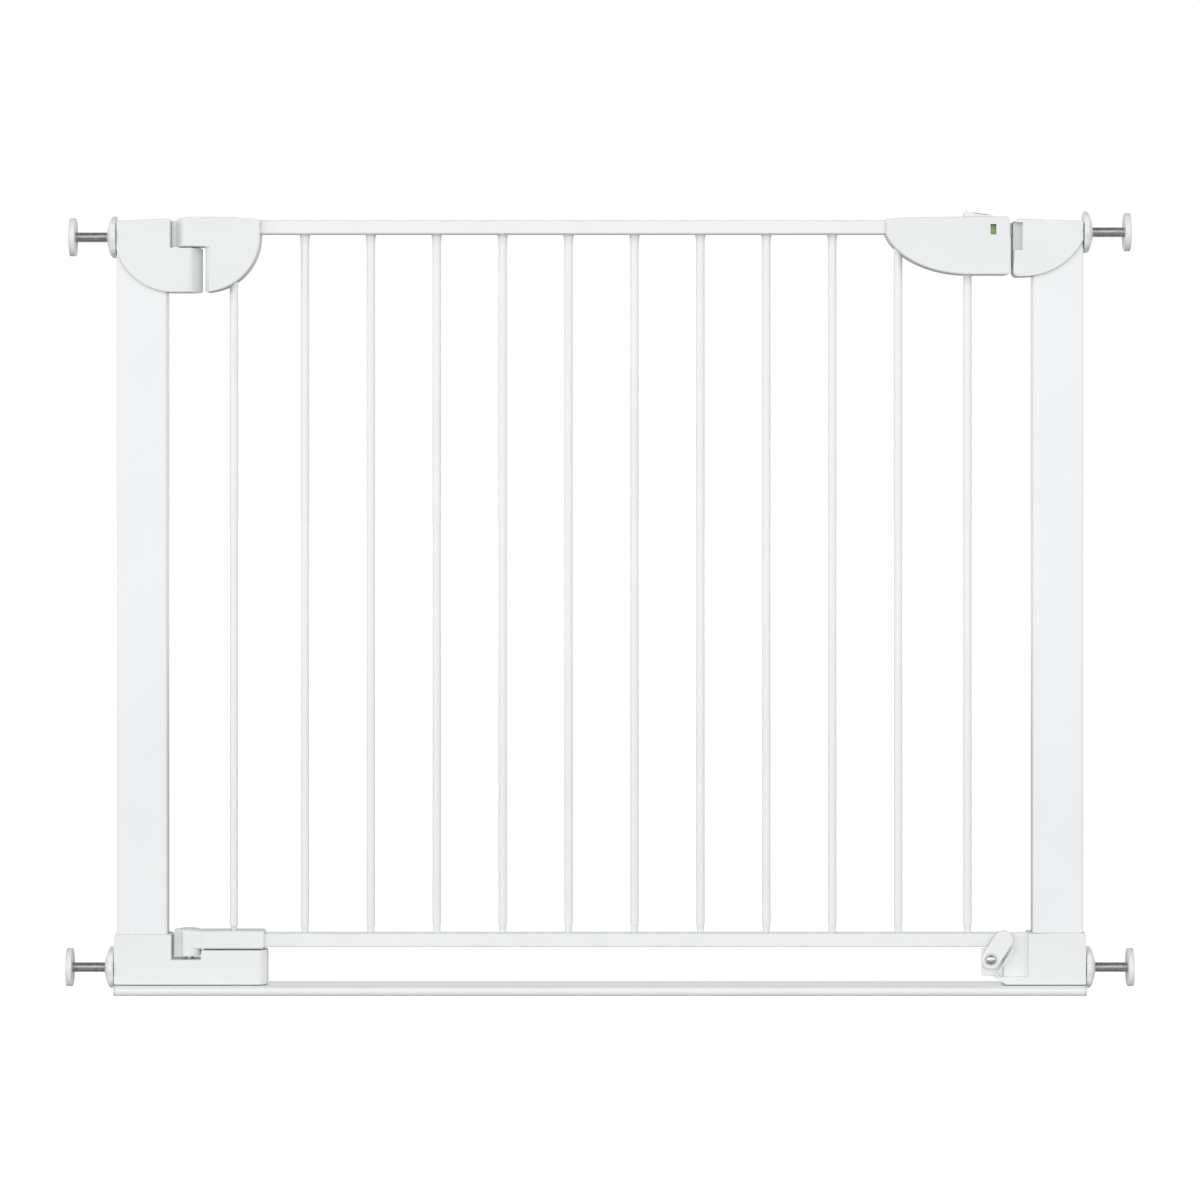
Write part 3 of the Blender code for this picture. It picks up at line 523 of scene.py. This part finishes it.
def hinge_housing():
    centre, arc_top = (-400.3, 714.7), 697.0
    curve_r = 55.6 - SKIN
    outer, right, inner = HINGE_OUTER + SKIN, -373.6 - SKIN, -403.2 - SKIN
    step = 701.2 - SKIN
    start = 180 + atan2(centre[1] - arc_top, centre[0] - HINGE_OUTER) * 180 / pi
    outline = [(outer, HOUSING_TOP - SKIN, 2.2), (outer, 699.0)]
    outline += arc(centre, curve_r, start + 1, 269, 40)
    outline += [(right, centre[1] - curve_r, 2.2), (right, step, 2.0), (inner, step, 0.5)]
    outline += [(inner, 728.6, 2.2)]
    solid = moulded(outline, 6, UPPER_RIMS)
    planned(solid, *wedge_plan(-386.8, 5.6, 56, 1))
    softened("hinge_housing_shell", "hinge_housing", solid, "frame", PLASTIC_SLOT)


def catch_housing():
    centre_x, curve_r, bottom = 397.0, 63.5, 673.8 + SKIN
    left, outer = 387.7 + SKIN, CATCH_OUTER - SKIN
    outline = [(left, 725.6, 2.2), (left, bottom, 4.6)]
    outline += arc((centre_x, bottom + curve_r), curve_r - SKIN, 271, 270 + 61.4, 40)
    outline += [(outer, 708.0), (outer, HOUSING_TOP - SKIN, 2.2), (393.6, 728.3), (390.2, 727.3)]
    solid = moulded(outline, 6, UPPER_RIMS)
    made = softened("catch_housing_shell", "catch_housing", solid, "frame", PLASTIC_SLOT)

    # the pocket floor gets the stippled grain and a darker colour that is painted shade of the
    # recess
    def pocket_floor(middle, normal):
        in_pocket = middle.x < 396.6 and middle.z > 698 and -10.5 < middle.y < -9.5
        return in_pocket and abs(normal.y) > 0.9

    stipple_and_shade(made, pocket_floor)


def base_hinge_housing():
    outer, right = -BASE_OUTER + SKIN, -312.6
    floor, top = BASE_FLOOR + SKIN, 57.0 - SKIN
    ledge, ledge_left = 42.0 - SKIN, -374.3 + SKIN
    seat, seat_left = 33.2 - SKIN, -402.2 - SKIN
    outline = [(outer, floor, 2.2), (right, floor, 2.2), (right, ledge, 2.2)]
    outline += [(ledge_left, ledge, 2.2), (ledge_left, seat, 0.6), (seat_left, seat, 0.6)]
    outline += [(seat_left, top, 2.2), (outer, top, 2.2)]
    solid = moulded(outline, 5, BASE_RIMS)
    planned(solid, *wedge_plan(right - 7.6, 4.5, 48, 1))
    softened("base_hinge_shell", "base_hinge_housing", solid, "frame", PLASTIC_SLOT)


def base_catch_housing():
    low, high = 369.5, BASE_OUTER - SKIN
    floor, top = BASE_FLOOR + SKIN, 58.4 - SKIN
    outline = [(low, floor, 1.7), (high, floor, 1.7), (high, top, 1.8), (low, top, 1.7)]
    solid = moulded(outline, 5, BASE_RIMS)
    softened("base_catch_shell", "base_catch_housing", solid, "frame", PLASTIC_SLOT)


def posts():
    """Rectangular tubes with drawn corners."""
    inner, outer, half_depth, corner_r = 406.0, 454.0, 12.5, 3.0
    foot, head = 12.6, 724.4
    for name, side in (("left_post", -1), ("right_post", 1)):
        low, high = sorted((side * inner, side * outer))
        corners = inset(rectangle((low, -half_depth), (high, half_depth)), SKIN)
        solid = prism(filleted(corners, corner_r, 8), foot, head, "Z")
        softened(f"{name}_tube", name, solid, "frame", PAINT_SLOT)


def flat_oval():
    """Section of the base rail: a low slab with rounded long edges."""
    inward = 0.08
    half, height, nose = 25.0 - inward, 9.4 - inward, 4.2 - inward
    return filleted(rectangle((-half, inward), (half, height)), nose, 9)


def base_rail():
    rail_end, cap_start, cap_rim = 454.2, 438.0, 1.4
    solid = prism(flat_oval(), -rail_end, rail_end, "X")
    softened("base_rail_tube", "base_rail", solid, "frame", PAINT_SLOT)
    for side, name in ((-1, "base_rail_cap_left"), (1, "base_rail_cap_right")):
        low, high = sorted((side * cap_start, side * BASE_OUTER))
        rims = (cap_rim, 0.0) if side < 0 else (0.0, cap_rim)
        solid = prism(flat_oval(), low, high, "X", *rims)
        softened(f"{name}_plug", name, solid, "frame", PLASTIC_SLOT)


def stop_parts():
    """Bracket, domed rivet and leaning lever of the one-way stop."""
    x, z = 366.6, 33.2
    plate = [(358.1, 17.3, 2.0), (378.3, 17.3, 1.2), (378.3, 43.8, 1.6), (358.1, 43.8, 1.6)]
    solid = prism(path(plate), -10.8, -7.0, "Y", 0.8, 0.8)
    softened("stop_bracket_plate", "stop_bracket", solid, "frame", PLASTIC_SLOT)

    head_y, dome_r, dome_height = -16.6, 4.6, 2.4
    turns = [radians(angle) for angle in range(90, -1, -6)]
    dome = [(head_y - dome_height * sin(turn), dome_r * cos(turn)) for turn in turns]
    dome[0] = (head_y - dome_height, 0)  # the pole is one point
    stem = [(head_y + 0.02, 4.3), (head_y, 2.6), (-7.4, 2.6), (-6.9, 2.1)]
    rivet = turned(dome + stem, (x, 0, z), "Y", 40)
    piece("stop_rivet", rivet, "frame", ZINC_SLOT, "stop_screw")

    lean, reach, radius = radians(33.0), 22.2, 9.0 - SKIN
    tip = (x + reach * sin(lean), z + reach * cos(lean))
    outline = arc((x, z), radius, 147, 327, 28) + arc(tip, radius, -33, 147, 28)
    lever = object_of("stop_lever_arm", prism(outline, -16.3, -11.9, "Y", 1.3, 0.7, 5))
    combine(lever, "DIFFERENCE", turned([(-20, 2.9), (-8, 2.9)], (x, 0, z), "Y", 32))
    recess = turned([(-20, 6.2), (-15.4, 6.2), (-15.2, 5.9)], (x, 0, z), "Y", 40)
    combine(lever, "DIFFERENCE", recess)
    finished(lever, "swing_stop", PLASTIC_SLOT, ("stop_lever",))


# ---------------------------------------------------------------- panel


def panel_hinge():
    """Knuckle and half-round shoulder, with the finger guard's fin beside the hinge gap."""
    centre = (-372.2, 712.8)
    curve_r = 53.4 - SKIN
    left, shoulder, knuckle = -398.4 + SKIN, -370.6 + SKIN, 702.1 + SKIN
    right = centre[0] + curve_r
    begin = 270 + atan2(shoulder - centre[0], curve_r) * 180 / pi
    outline = [(shoulder, centre[1] - curve_r, 1.9)]
    outline += arc(centre, curve_r, begin + 2.5, 359, 40)
    outline += [(right, 727.8, 2.4), (-351.6, 730.1), (-384.4, 730.1), (left, 728.5, 1.9)]
    outline += [(left, knuckle, 1.9), (shoulder, knuckle, 0.5)]
    form = moulded(outline, 6, UPPER_RIMS)
    planned(form, *wedge_plan(-386.2, 8.0, 58, -1))
    form = object_of("panel_hinge_form", form)

    # below the knuckle, the front edge turns in over a large radius
    edge_r = 7.0
    edge = [(shoulder - 1, -HALF - 1), (shoulder + edge_r, -HALF - 1)]
    edge += arc((shoulder + edge_r, -HALF + SKIN + edge_r), edge_r, 270, 180, 10)
    edge += [(shoulder - 1, -HALF + edge_r)]
    combine(form, "DIFFERENCE", prism(edge, 650, knuckle, "Z"))

    fin_low = (-402.4 + SKIN, -4.0 + SKIN, 702.6 + SKIN)
    fin_high = (-395.0, 1.5 - SKIN, 727.0 - SKIN)
    combine(form, "UNION", box(fin_low, fin_high))
    softened("panel_hinge_shell", "panel_hinge", form, "gate", PLASTIC_SLOT)


def handle_outline():
    """Boat shape: part of an ellipse below, and a top that rises slowly."""
    left, right = HANDLE_LEFT + SKIN, HANDLE_RIGHT - SKIN
    centre_x, centre_z, bottom = 346.9, 728.0, 675.8
    half_length = 82.0 - SKIN
    half_height = centre_z - bottom - SKIN
    cosine = (centre_x - left) / half_length
    start = 180 + atan2(sqrt(1 - cosine**2), cosine) * 180 / pi
    squash = half_height / half_length
    outline = arc((centre_x, centre_z), half_length, start + 0.5, 269.5, 48, squash)
    outline += [(right, bottom + SKIN, 3.0), (right, 730.5, 3.0)]
    outline += [(318.8, 730.1), (285.9, 729.5), (left, 728.2, 2.0)]
    return path(outline, 6)


def handle():
    """Two shells with a fine seam between them, their nose rounded in plan."""
    left = HANDLE_LEFT + SKIN
    nose_r, nose_steps = 6.0, 7
    rim, seam_rim, half_seam = 1.5, 0.35, 0.15

    def share(x):
        past = left + nose_r - x
        if past <= 0:
            return 1.0
        return (HALF - nose_r + sqrt(max(0.0, nose_r**2 - past**2))) / HALF

    turns = [pi / 2 * k / nose_steps for k in range(nose_steps)]
    places = [left + nose_r - nose_r * sin(turn) for turn in turns]
    for side, low, high, rims in (
        ("front", -HALF + SKIN, -half_seam, (rim, seam_rim)),
        ("back", half_seam, HALF - SKIN, (seam_rim, rim)),
    ):
        form = planned(prism(handle_outline(), low, high, "Y", *rims, 6), share, places)
        softened(f"handle_{side}_shell", f"handle_{side}", form, "gate", PLASTIC_SLOT)


def handle_screws():
    """Cross-recessed pan heads on the back of the handle."""
    seat, head_r, rim, dome = 13.9, 3.3, 0.5, 1.7
    profile = [(-9.5, 0.5), (-8.0, 1.5), (seat - 0.1, 1.6), (seat, head_r), (seat + rim, head_r)]
    for turn in map(radians, (20, 40, 60, 80)):
        profile.append((seat + rim + dome * sin(turn), head_r * cos(turn) ** 0.7))
    for i, (x, z) in enumerate(((318.0, 699.0), (372.0, 689.0)), 1):
        screw = object_of(f"handle_screw_{i}_head", turned(profile, (x, 0, z), "Y", 32))
        for wide, high in ((2.0, 0.32), (0.32, 2.0)):
            recess = box((x - wide, seat + 0.7, z - high), (x + wide, seat + 4, z + high))
            combine(screw, "DIFFERENCE", recess)
        finished(screw, "gate", ZINC_SLOT, (f"handle_screw_{i}",))


def rails():
    half_depth, corner_r, inward = 10, 1.6, 0.06
    for name, span, (low, high) in (
        ("top_rail", (-352.0, 352.0), TOP_RAIL),
        ("bottom_rail", (-352.0, 373.5), BOTTOM_RAIL),
    ):
        corners = inset(rectangle((-half_depth, low), (half_depth, high)), inward)
        solid = prism(filleted(corners, corner_r, 7), *span, "X")
        softened(f"{name}_tube", name, solid, "gate", PAINT_SLOT)


def bars():
    """Round bars, upset under the top rail and drawn in at the foot, with a thin weld bead.

    The first bar stands in the lower sleeve, so its foot is plain and thinner.
    """
    low, high = 57.45, 714.05
    places = [FIRST_BAR, *[SECOND_BAR + BAR_PITCH * i for i in range(10)], LAST_BAR]
    plain_foot = [(low, 2.6), (low + 4.2, 2.6), (low + 5.2, 3.0)]
    weld_foot = [(low, 4.1), (low + 0.25, 4.25), (low + 0.8, 4.0), (low + 1.3, 3.5)]
    weld_foot += [(low + 2.2, 3.4)]
    shank = [(low + 5.7, 3.5), (low + 6.9, 3.9), (low + 8.5, 4.0), (high - 14, 4.0)]
    shank += [(high - 9, 4.08)]
    upset = [(high - 5, 4.28), (high - 2.4, 4.6), (high - 0.8, 4.85), (high - 0.25, 5.0)]
    upset += [(high, 4.9)]
    for i, x in enumerate(places, 1):
        foot = plain_foot if i == 1 else weld_foot
        shape = turned(foot + shank + upset, (x, 0, 0), "Z", 28)
        piece(f"bar_{i:02d}_rod", shape, "gate", PAINT_SLOT, f"bar_{i:02d}")


def lower_sleeve():
    """Knuckle with a domed rim, and the sleeve over the rail's end."""
    axis = (HINGE_X, 0, 0)
    low, high = 36.0, 61.5
    profile = [(low, 11.1), (low + 0.5, 11.6), (high - 3.2, 11.6), (high - 1.8, 11.2)]
    profile += [(high - 0.7, 10.2), (high, 8.6)]
    knuckle = object_of("lower_hinge_shell", turned(profile, axis, "Z", 56))
    for added in (
        box((-400.1, -8.9, 36.1), (HINGE_X, 3.9, 60.9), 0.8),
        box((HINGE_X, -11.6, 43.0), (-318, 11.6, 60.0), 1.6),
        box((-373.9, -13.1, 43.0), (-315.2, 13.1, 60.0), 2.2),
    ):
        combine(knuckle, "UNION", added)
    for hole in (
        box((-352.3, -10.3, 44.2), (-300, 10.3, 57.8)),
        turned([(55, 4.5), (70, 4.5)], (FIRST_BAR, 0, 0), "Z", 24),
        turned([(low - 2, 4.1), (low + 17.4, 4.1)], axis, "Z", 24),
    ):
        combine(knuckle, "DIFFERENCE", hole)
    finished(knuckle, "gate", PLASTIC_SLOT, ("lower_hinge_sleeve",))
    # faces left of the knuckle's middle, the recessed block among them, get the stippled grain
    # and a darker colour that is painted shade
    stipple_and_shade(knuckle, lambda middle, normal: middle.x < -391.5 and middle.z < high - 1.5)


def rail_end():
    """Plug with its tongue; the fillet stays larger than the rims, or nothing is left."""
    half_depth, rim, corner_r = 9.95, 1.5, 1.8
    low, high = BOTTOM_RAIL[0] + SKIN, BOTTOM_RAIL[1] - SKIN
    outline = filleted(rectangle((358, low), (393.45, high)), corner_r, 5)
    solid = prism(outline, -half_depth, half_depth, "Y", rim, rim)
    softened("rail_end_plug", "rail_end_catch", solid, "gate", PLASTIC_SLOT)


# ---------------------------------------------------------------- lock


def thumb_slide():
    """Ramp with a scooped face and grip ribs, on the stem that reaches down to the bolt."""
    base = 730.62
    ribs, rib_pitch, rib_rise, rib_r = 6, 3.0, 0.42, 0.2
    outline = [(342.1, base, 0.4), (369.4, base, 0.4), (369.4, 732.1, 0.4)]
    for k in range(ribs):
        x = 366.0 - k * rib_pitch
        z = 732.2 + k * rib_rise
        outline += [(x, z + 0.05, rib_r), (x - 0.5, z + 0.5, rib_r)]
        outline += [(x - 1.3, z + 0.5, rib_r), (x - 1.8, z + 0.2, rib_r)]
    outline += [(346.6, 735.2, 0.6), (343.4, 735.5, 0.9), (342.1, 734.0, 0.6)]
    slide = object_of("thumb_slide_grip", prism(path(outline, 3), -7.9, 7.9, "Y", 0.35, 0.35, 3))
    combine(slide, "UNION", box((359.6, -3.0, 724.9), (365.4, 3.0, 731.5)))
    finished(slide, "lock", PLASTIC_SLOT, ("thumb_slide",))


def lock_parts():
    """The sliding bolt, and the two flags that pass behind the handle's window."""
    outline = [(358.6, 699.0, 0.6), (362.0, 699.0, 0.6), (362.0, 711.5, 0.6)]
    outline += [(387.2, 711.5, 1.2), (387.2, 724.5, 1.2), (358.6, 724.5, 0.8)]
    solid = prism(path(outline), -10.9, 12.8, "Y", 0.4, 0.4)
    softened("lock_bolt_bar", "lock_bolt", solid, "lock", PLASTIC_SLOT)
    low, high = 712.2, 721.0
    for name, slot, left, right in (
        ("green_flag", GREEN_SLOT, 357.05, 371.85),
        ("red_flag", RED_SLOT, 372.25, 377.35),
    ):
        plate = [(left, low, 0.8), (right, low, 0.4), (right, high, 0.4), (left, high, 0.8)]
        shape = prism(path(plate), -12.65, -11.25, "Y", 0.2, 0.2)
        piece(f"{name}_plate", shape, "lock", slot, name)


def lock_spring():
    """The bolt's spring, on its own copy of the frame's mesh; on the real gate the bolt squeezes
    it towards the handle's wall as it is drawn back.
    """
    spring = frame_copy("lock_spring_wire", "bolt_spring")
    finished(spring, "gate", ZINC_SLOT, ("bolt_spring",), FINE_SHARP)
    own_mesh(spring)


# ---------------------------------------------------------------- spindles

PITCH = 1.5
ROD_START = 412.0  # inner end of every rod, from the middle of the gate
PAD_COVER = 2.85  # a rod ends this far behind its pad's face
SPINDLES = {  # side, height, the hand nut's seat, the pad's face
    "upper_left": (-1, 711.6, 454.3, 498.7),
    "upper_right": (1, 716.4, 454.3, 498.7),
    "lower_left": (-1, 24.8, 456.6, 501.7),
    "lower_right": (1, 24.8, 456.6, 501.7),
}


def threaded_rod(side, height, low, high):
    """Right-hand metric thread as one closed skin, with chamfered ends."""
    crest, root, segments, per_turn = 4.88, 4.12, 32, 8
    steps = round((high - low) / PITCH * per_turn)

    def ripple(level, radius, angle):
        if radius < 1:
            return radius
        phase = (level / PITCH - angle / (2 * pi)) % 1.0
        ridge = min(1.0, max(0.0, 1.6 * (1 - abs(2 * phase - 1)) - 0.3))
        chamfer = min(1.0, 0.35 + min(abs(level) - low, high - abs(level)) / 1.2)
        return min(radius, root + (crest - root) * ridge) * (0.86 + 0.14 * min(1.0, chamfer))

    profile = [(side * low, 0)]
    profile += [(side * (low + (high - low) * i / steps), crest) for i in range(steps + 1)]
    profile += [(side * high, 0)]
    return turned(profile, (0, 0, height), "X", segments, ripple=ripple)


def hand_nut(side, height, seat):
    """Finger-lobed nut: fluted rim, dished face, hub with a turned bead."""
    lobes, depth = 8, 0.05
    flute_start, flute_ramp = 9.0, 7.0  # radius where the flutes begin, and how far they deepen

    def ripple(level, radius, angle):
        if radius < flute_start:
            return radius
        share = min(1.0, (radius - flute_start) / flute_ramp)
        return radius * (1 - depth * share * (0.5 - 0.5 * cos(lobes * angle)) ** 1.6)

    bore, rim = 5.2, 19.55
    profile = [(0.05, bore), (0.05, rim - 0.9), (0.3, rim - 0.4), (0.9, rim), (3.0, rim)]
    profile += [(3.9, rim - 0.3), (4.7, rim - 0.9), (5.5, rim - 1.9), (6.2, rim - 3.2)]
    profile += [(6.8, 14.8), (7.3, 13.2), (7.8, 11.2), (8.2, 9.6), (8.6, 8.4), (8.72, 7.8)]
    profile += [(8.72, 6.9), (8.4, 6.4), (8.4, 5.7), (8.1, bore)]
    places = [(side * (seat + x), r) for x, r in profile]
    return turned(places, (0, 0, height), "X", 96, True, ripple)


def wall_pad(side, height, face):
    """Rigid cup over the rod's end, and the softer ringed disc in it."""
    back, mouth = face - 5.7, face - 1.4
    cup = [(mouth, 0), (mouth, 17.7), (face - 1.5, 17.9), (back + 0.5, 17.95)]
    cup += [(back + 0.15, 17.85), (back, 17.5), (back, 9.6), (back, 5.25)]
    cup += [(back + 3.2, 5.25), (back + 3.2, 0)]
    groove = face - 0.35
    disc = [(face - 1.35, 0), (face - 1.35, 17.6), (face - 1.25, 17.8), (face - 0.4, 17.85)]
    disc += [(face - 0.1, 17.6), (face, 17.2), (face, 15.0), (groove, 14.7), (groove, 14.0)]
    disc += [(face, 13.7), (face, 11.0), (groove, 10.7), (groove, 10.0), (face, 9.7), (face, 0)]
    shapes = []
    for profile in (cup, disc):
        places = [(side * x, r) for x, r in profile]
        shapes.append(turned(places, (0, 0, height), "X", 64))
    return shapes


def spindles():
    for name, (side, height, seat, face) in SPINDLES.items():
        spindle, nut = f"{name}_spindle", f"{name}_nut"
        rod = threaded_rod(side, height, ROD_START, face - PAD_COVER)
        piece(f"{name}_thread", rod, spindle, ZINC_SLOT, f"{name}_rod", smooth=FINE_SHARP)
        grip = hand_nut(side, height, seat)
        piece(f"{name}_grip", grip, nut, PLASTIC_SLOT, f"{name}_hand_nut")
        cup, disc = wall_pad(side, height, face)
        piece(f"{name}_pad_cup", cup, spindle, PLASTIC_SLOT, f"{name}_wall_pad")
        piece(f"{name}_pad_face", disc, spindle, PAD_SLOT, f"{name}_wall_pad")


# ---------------------------------------------------------------- nodes that keep their own shape


def carry_over():
    """Better materials on the frame nodes that are shown as they are."""
    slots = {part["node"]: part["material_slot"] for part in frame["record"]["subparts"]}
    for name, node in frame["nodes"].items():
        for place in node.material_slots:
            place.link = "OBJECT"
            place.material = LOOKS[slots[name]]


# ---------------------------------------------------------------- stage


# radiance of the studio against the sine of elevation: a bright bank at and above eye height,
# a dim ceiling, and ground between the two
STUDIO = (
    (-1.0, 0.43),
    (-0.4, 0.53),
    (-0.06, 0.87),
    (-0.035, 1.92),
    (0.1, 2.05),
    (0.3, 1.82),
    (0.5, 1.77),
    (0.66, 0.58),
    (0.85, 0.29),
    (1.0, 0.27),
)
BRIGHTEST = 2.2  # radiance that the ramp's white stands for
REAR_SHARE = 0.42  # light from behind, as a share of the light from the front
SIDE_TILT = 0.10  # light from the left is stronger by this share, and from the right weaker
COOL_WHITE = (0.985, 0.995, 1.0, 1.0)
WHITE = (1.0, 1.0, 1.0, 1.0)
BACKDROP_LEVEL = 1.02  # what the camera sees behind the gate: just past white

FLOOR_REACH = 40.0
FLOOR_DROP = 0.0003
FLOOR_GLOW = 0.8

CAMERA_BACK = 4.2165
CAMERA_UP = 0.49
SENSOR_WIDTH = 36.0
FOCAL_LENGTH = 134.4
PICTURE_CENTRE = 0.3702  # height that the middle of the picture shows
PICTURE_WIDTH = 1.125  # width of the view in the plane of the front faces


def floor_sheet():
    """Pale sheet that takes the gate's faint shadow and shines white around it."""
    shape = bmesh.new()
    corners = rectangle((-FLOOR_REACH, -FLOOR_REACH), (FLOOR_REACH, FLOOR_REACH))
    shape.faces.new([shape.verts.new((x, y, -FLOOR_DROP)) for x, y in corners])
    floor = object_of("floor", shape, 1.0)
    look = Nodes("floor sheet")
    stops = ((0.3, (0.50, 0.50, 0.50)), (0.7, (0.52, 0.52, 0.52)))
    look.link(look.ramp(look.noise(3.0, 3.0), stops), look.shader.inputs["Base Color"])
    look.set(Roughness=0.9, Specular_IOR_Level=0.0)
    look.set(Emission_Color=WHITE, Emission_Strength=FLOOR_GLOW)
    look.material.cycles.emission_sampling = "NONE"
    floor.data.materials.append(look.material)
    floor.visible_diffuse = False
    floor.visible_glossy = False
    floor.visible_shadow = False


def studio():
    """White to the camera; to all else a soft bank in front, dimmer above, below and behind."""
    world = bpy.data.worlds.new("studio")
    bpy.context.scene.world = world
    world.use_nodes = True
    tree = world.node_tree
    nodes, links = tree.nodes, tree.links

    def compute(operation, *values):
        made = nodes.new("ShaderNodeMath")
        made.operation = operation
        for socket, value in zip(made.inputs, values):
            if isinstance(value, (int, float)):
                socket.default_value = value
            else:
                links.new(value, socket)
        return made.outputs["Value"]

    split = nodes.new("ShaderNodeSeparateXYZ")
    links.new(nodes.new("ShaderNodeTexCoord").outputs["Generated"], split.inputs["Vector"])
    x, y, z = (split.outputs[axis] for axis in "XYZ")
    bank = nodes.new("ShaderNodeValToRGB")
    while len(bank.color_ramp.elements) < len(STUDIO):
        bank.color_ramp.elements.new(0.5)
    for element, (height, level) in zip(bank.color_ramp.elements, STUDIO):
        element.position = (height + 1) / 2
        element.color = (level / BRIGHTEST, level / BRIGHTEST, level / BRIGHTEST, 1)
    links.new(compute("MULTIPLY_ADD", z, 0.5, 0.5), bank.inputs["Fac"])
    facing = nodes.new("ShaderNodeMapRange")
    facing.interpolation_type = "SMOOTHSTEP"
    spans = {"From Min": 0.7, "From Max": -0.5, "To Min": REAR_SHARE, "To Max": 1.0}
    for socket, value in spans.items():
        facing.inputs[socket].default_value = value
    links.new(y, facing.inputs["Value"])
    level = compute("MULTIPLY", bank.outputs["Color"], facing.outputs["Result"])
    tilt = compute("SUBTRACT", 1.0, compute("MULTIPLY", x, SIDE_TILT))
    level = compute("MULTIPLY", level, tilt)
    lit = nodes["Background"]
    lit.inputs["Color"].default_value = COOL_WHITE
    links.new(compute("MULTIPLY", level, BRIGHTEST), lit.inputs["Strength"])
    seen = nodes.new("ShaderNodeBackground")
    seen.inputs["Strength"].default_value = BACKDROP_LEVEL
    seen.inputs["Color"].default_value = WHITE
    mix = nodes.new("ShaderNodeMixShader")
    links.new(nodes.new("ShaderNodeLightPath").outputs["Is Camera Ray"], mix.inputs["Fac"])
    links.new(lit.outputs["Background"], mix.inputs[1])
    links.new(seen.outputs["Background"], mix.inputs[2])
    links.new(mix.outputs["Shader"], nodes["World Output"].inputs["Surface"])


def camera():
    data = bpy.data.cameras.new("camera")
    data.sensor_fit = "HORIZONTAL"
    data.sensor_width = SENSOR_WIDTH
    data.lens = FOCAL_LENGTH
    data.shift_y = (PICTURE_CENTRE - CAMERA_UP) / PICTURE_WIDTH
    made = linked("camera", data)
    made.location = (0.0, -CAMERA_BACK, CAMERA_UP)
    made.rotation_euler = (radians(90), 0, 0)
    bpy.context.scene.camera = made
    bpy.context.scene.view_settings.view_transform = "Standard"


carry_over()
hinge_housing()
catch_housing()
base_hinge_housing()
base_catch_housing()
posts()
base_rail()
stop_parts()
panel_hinge()
handle()
handle_screws()
rails()
bars()
lower_sleeve()
rail_end()
thumb_slide()
lock_parts()
lock_spring()
spindles()
floor_sheet()
studio()
camera()
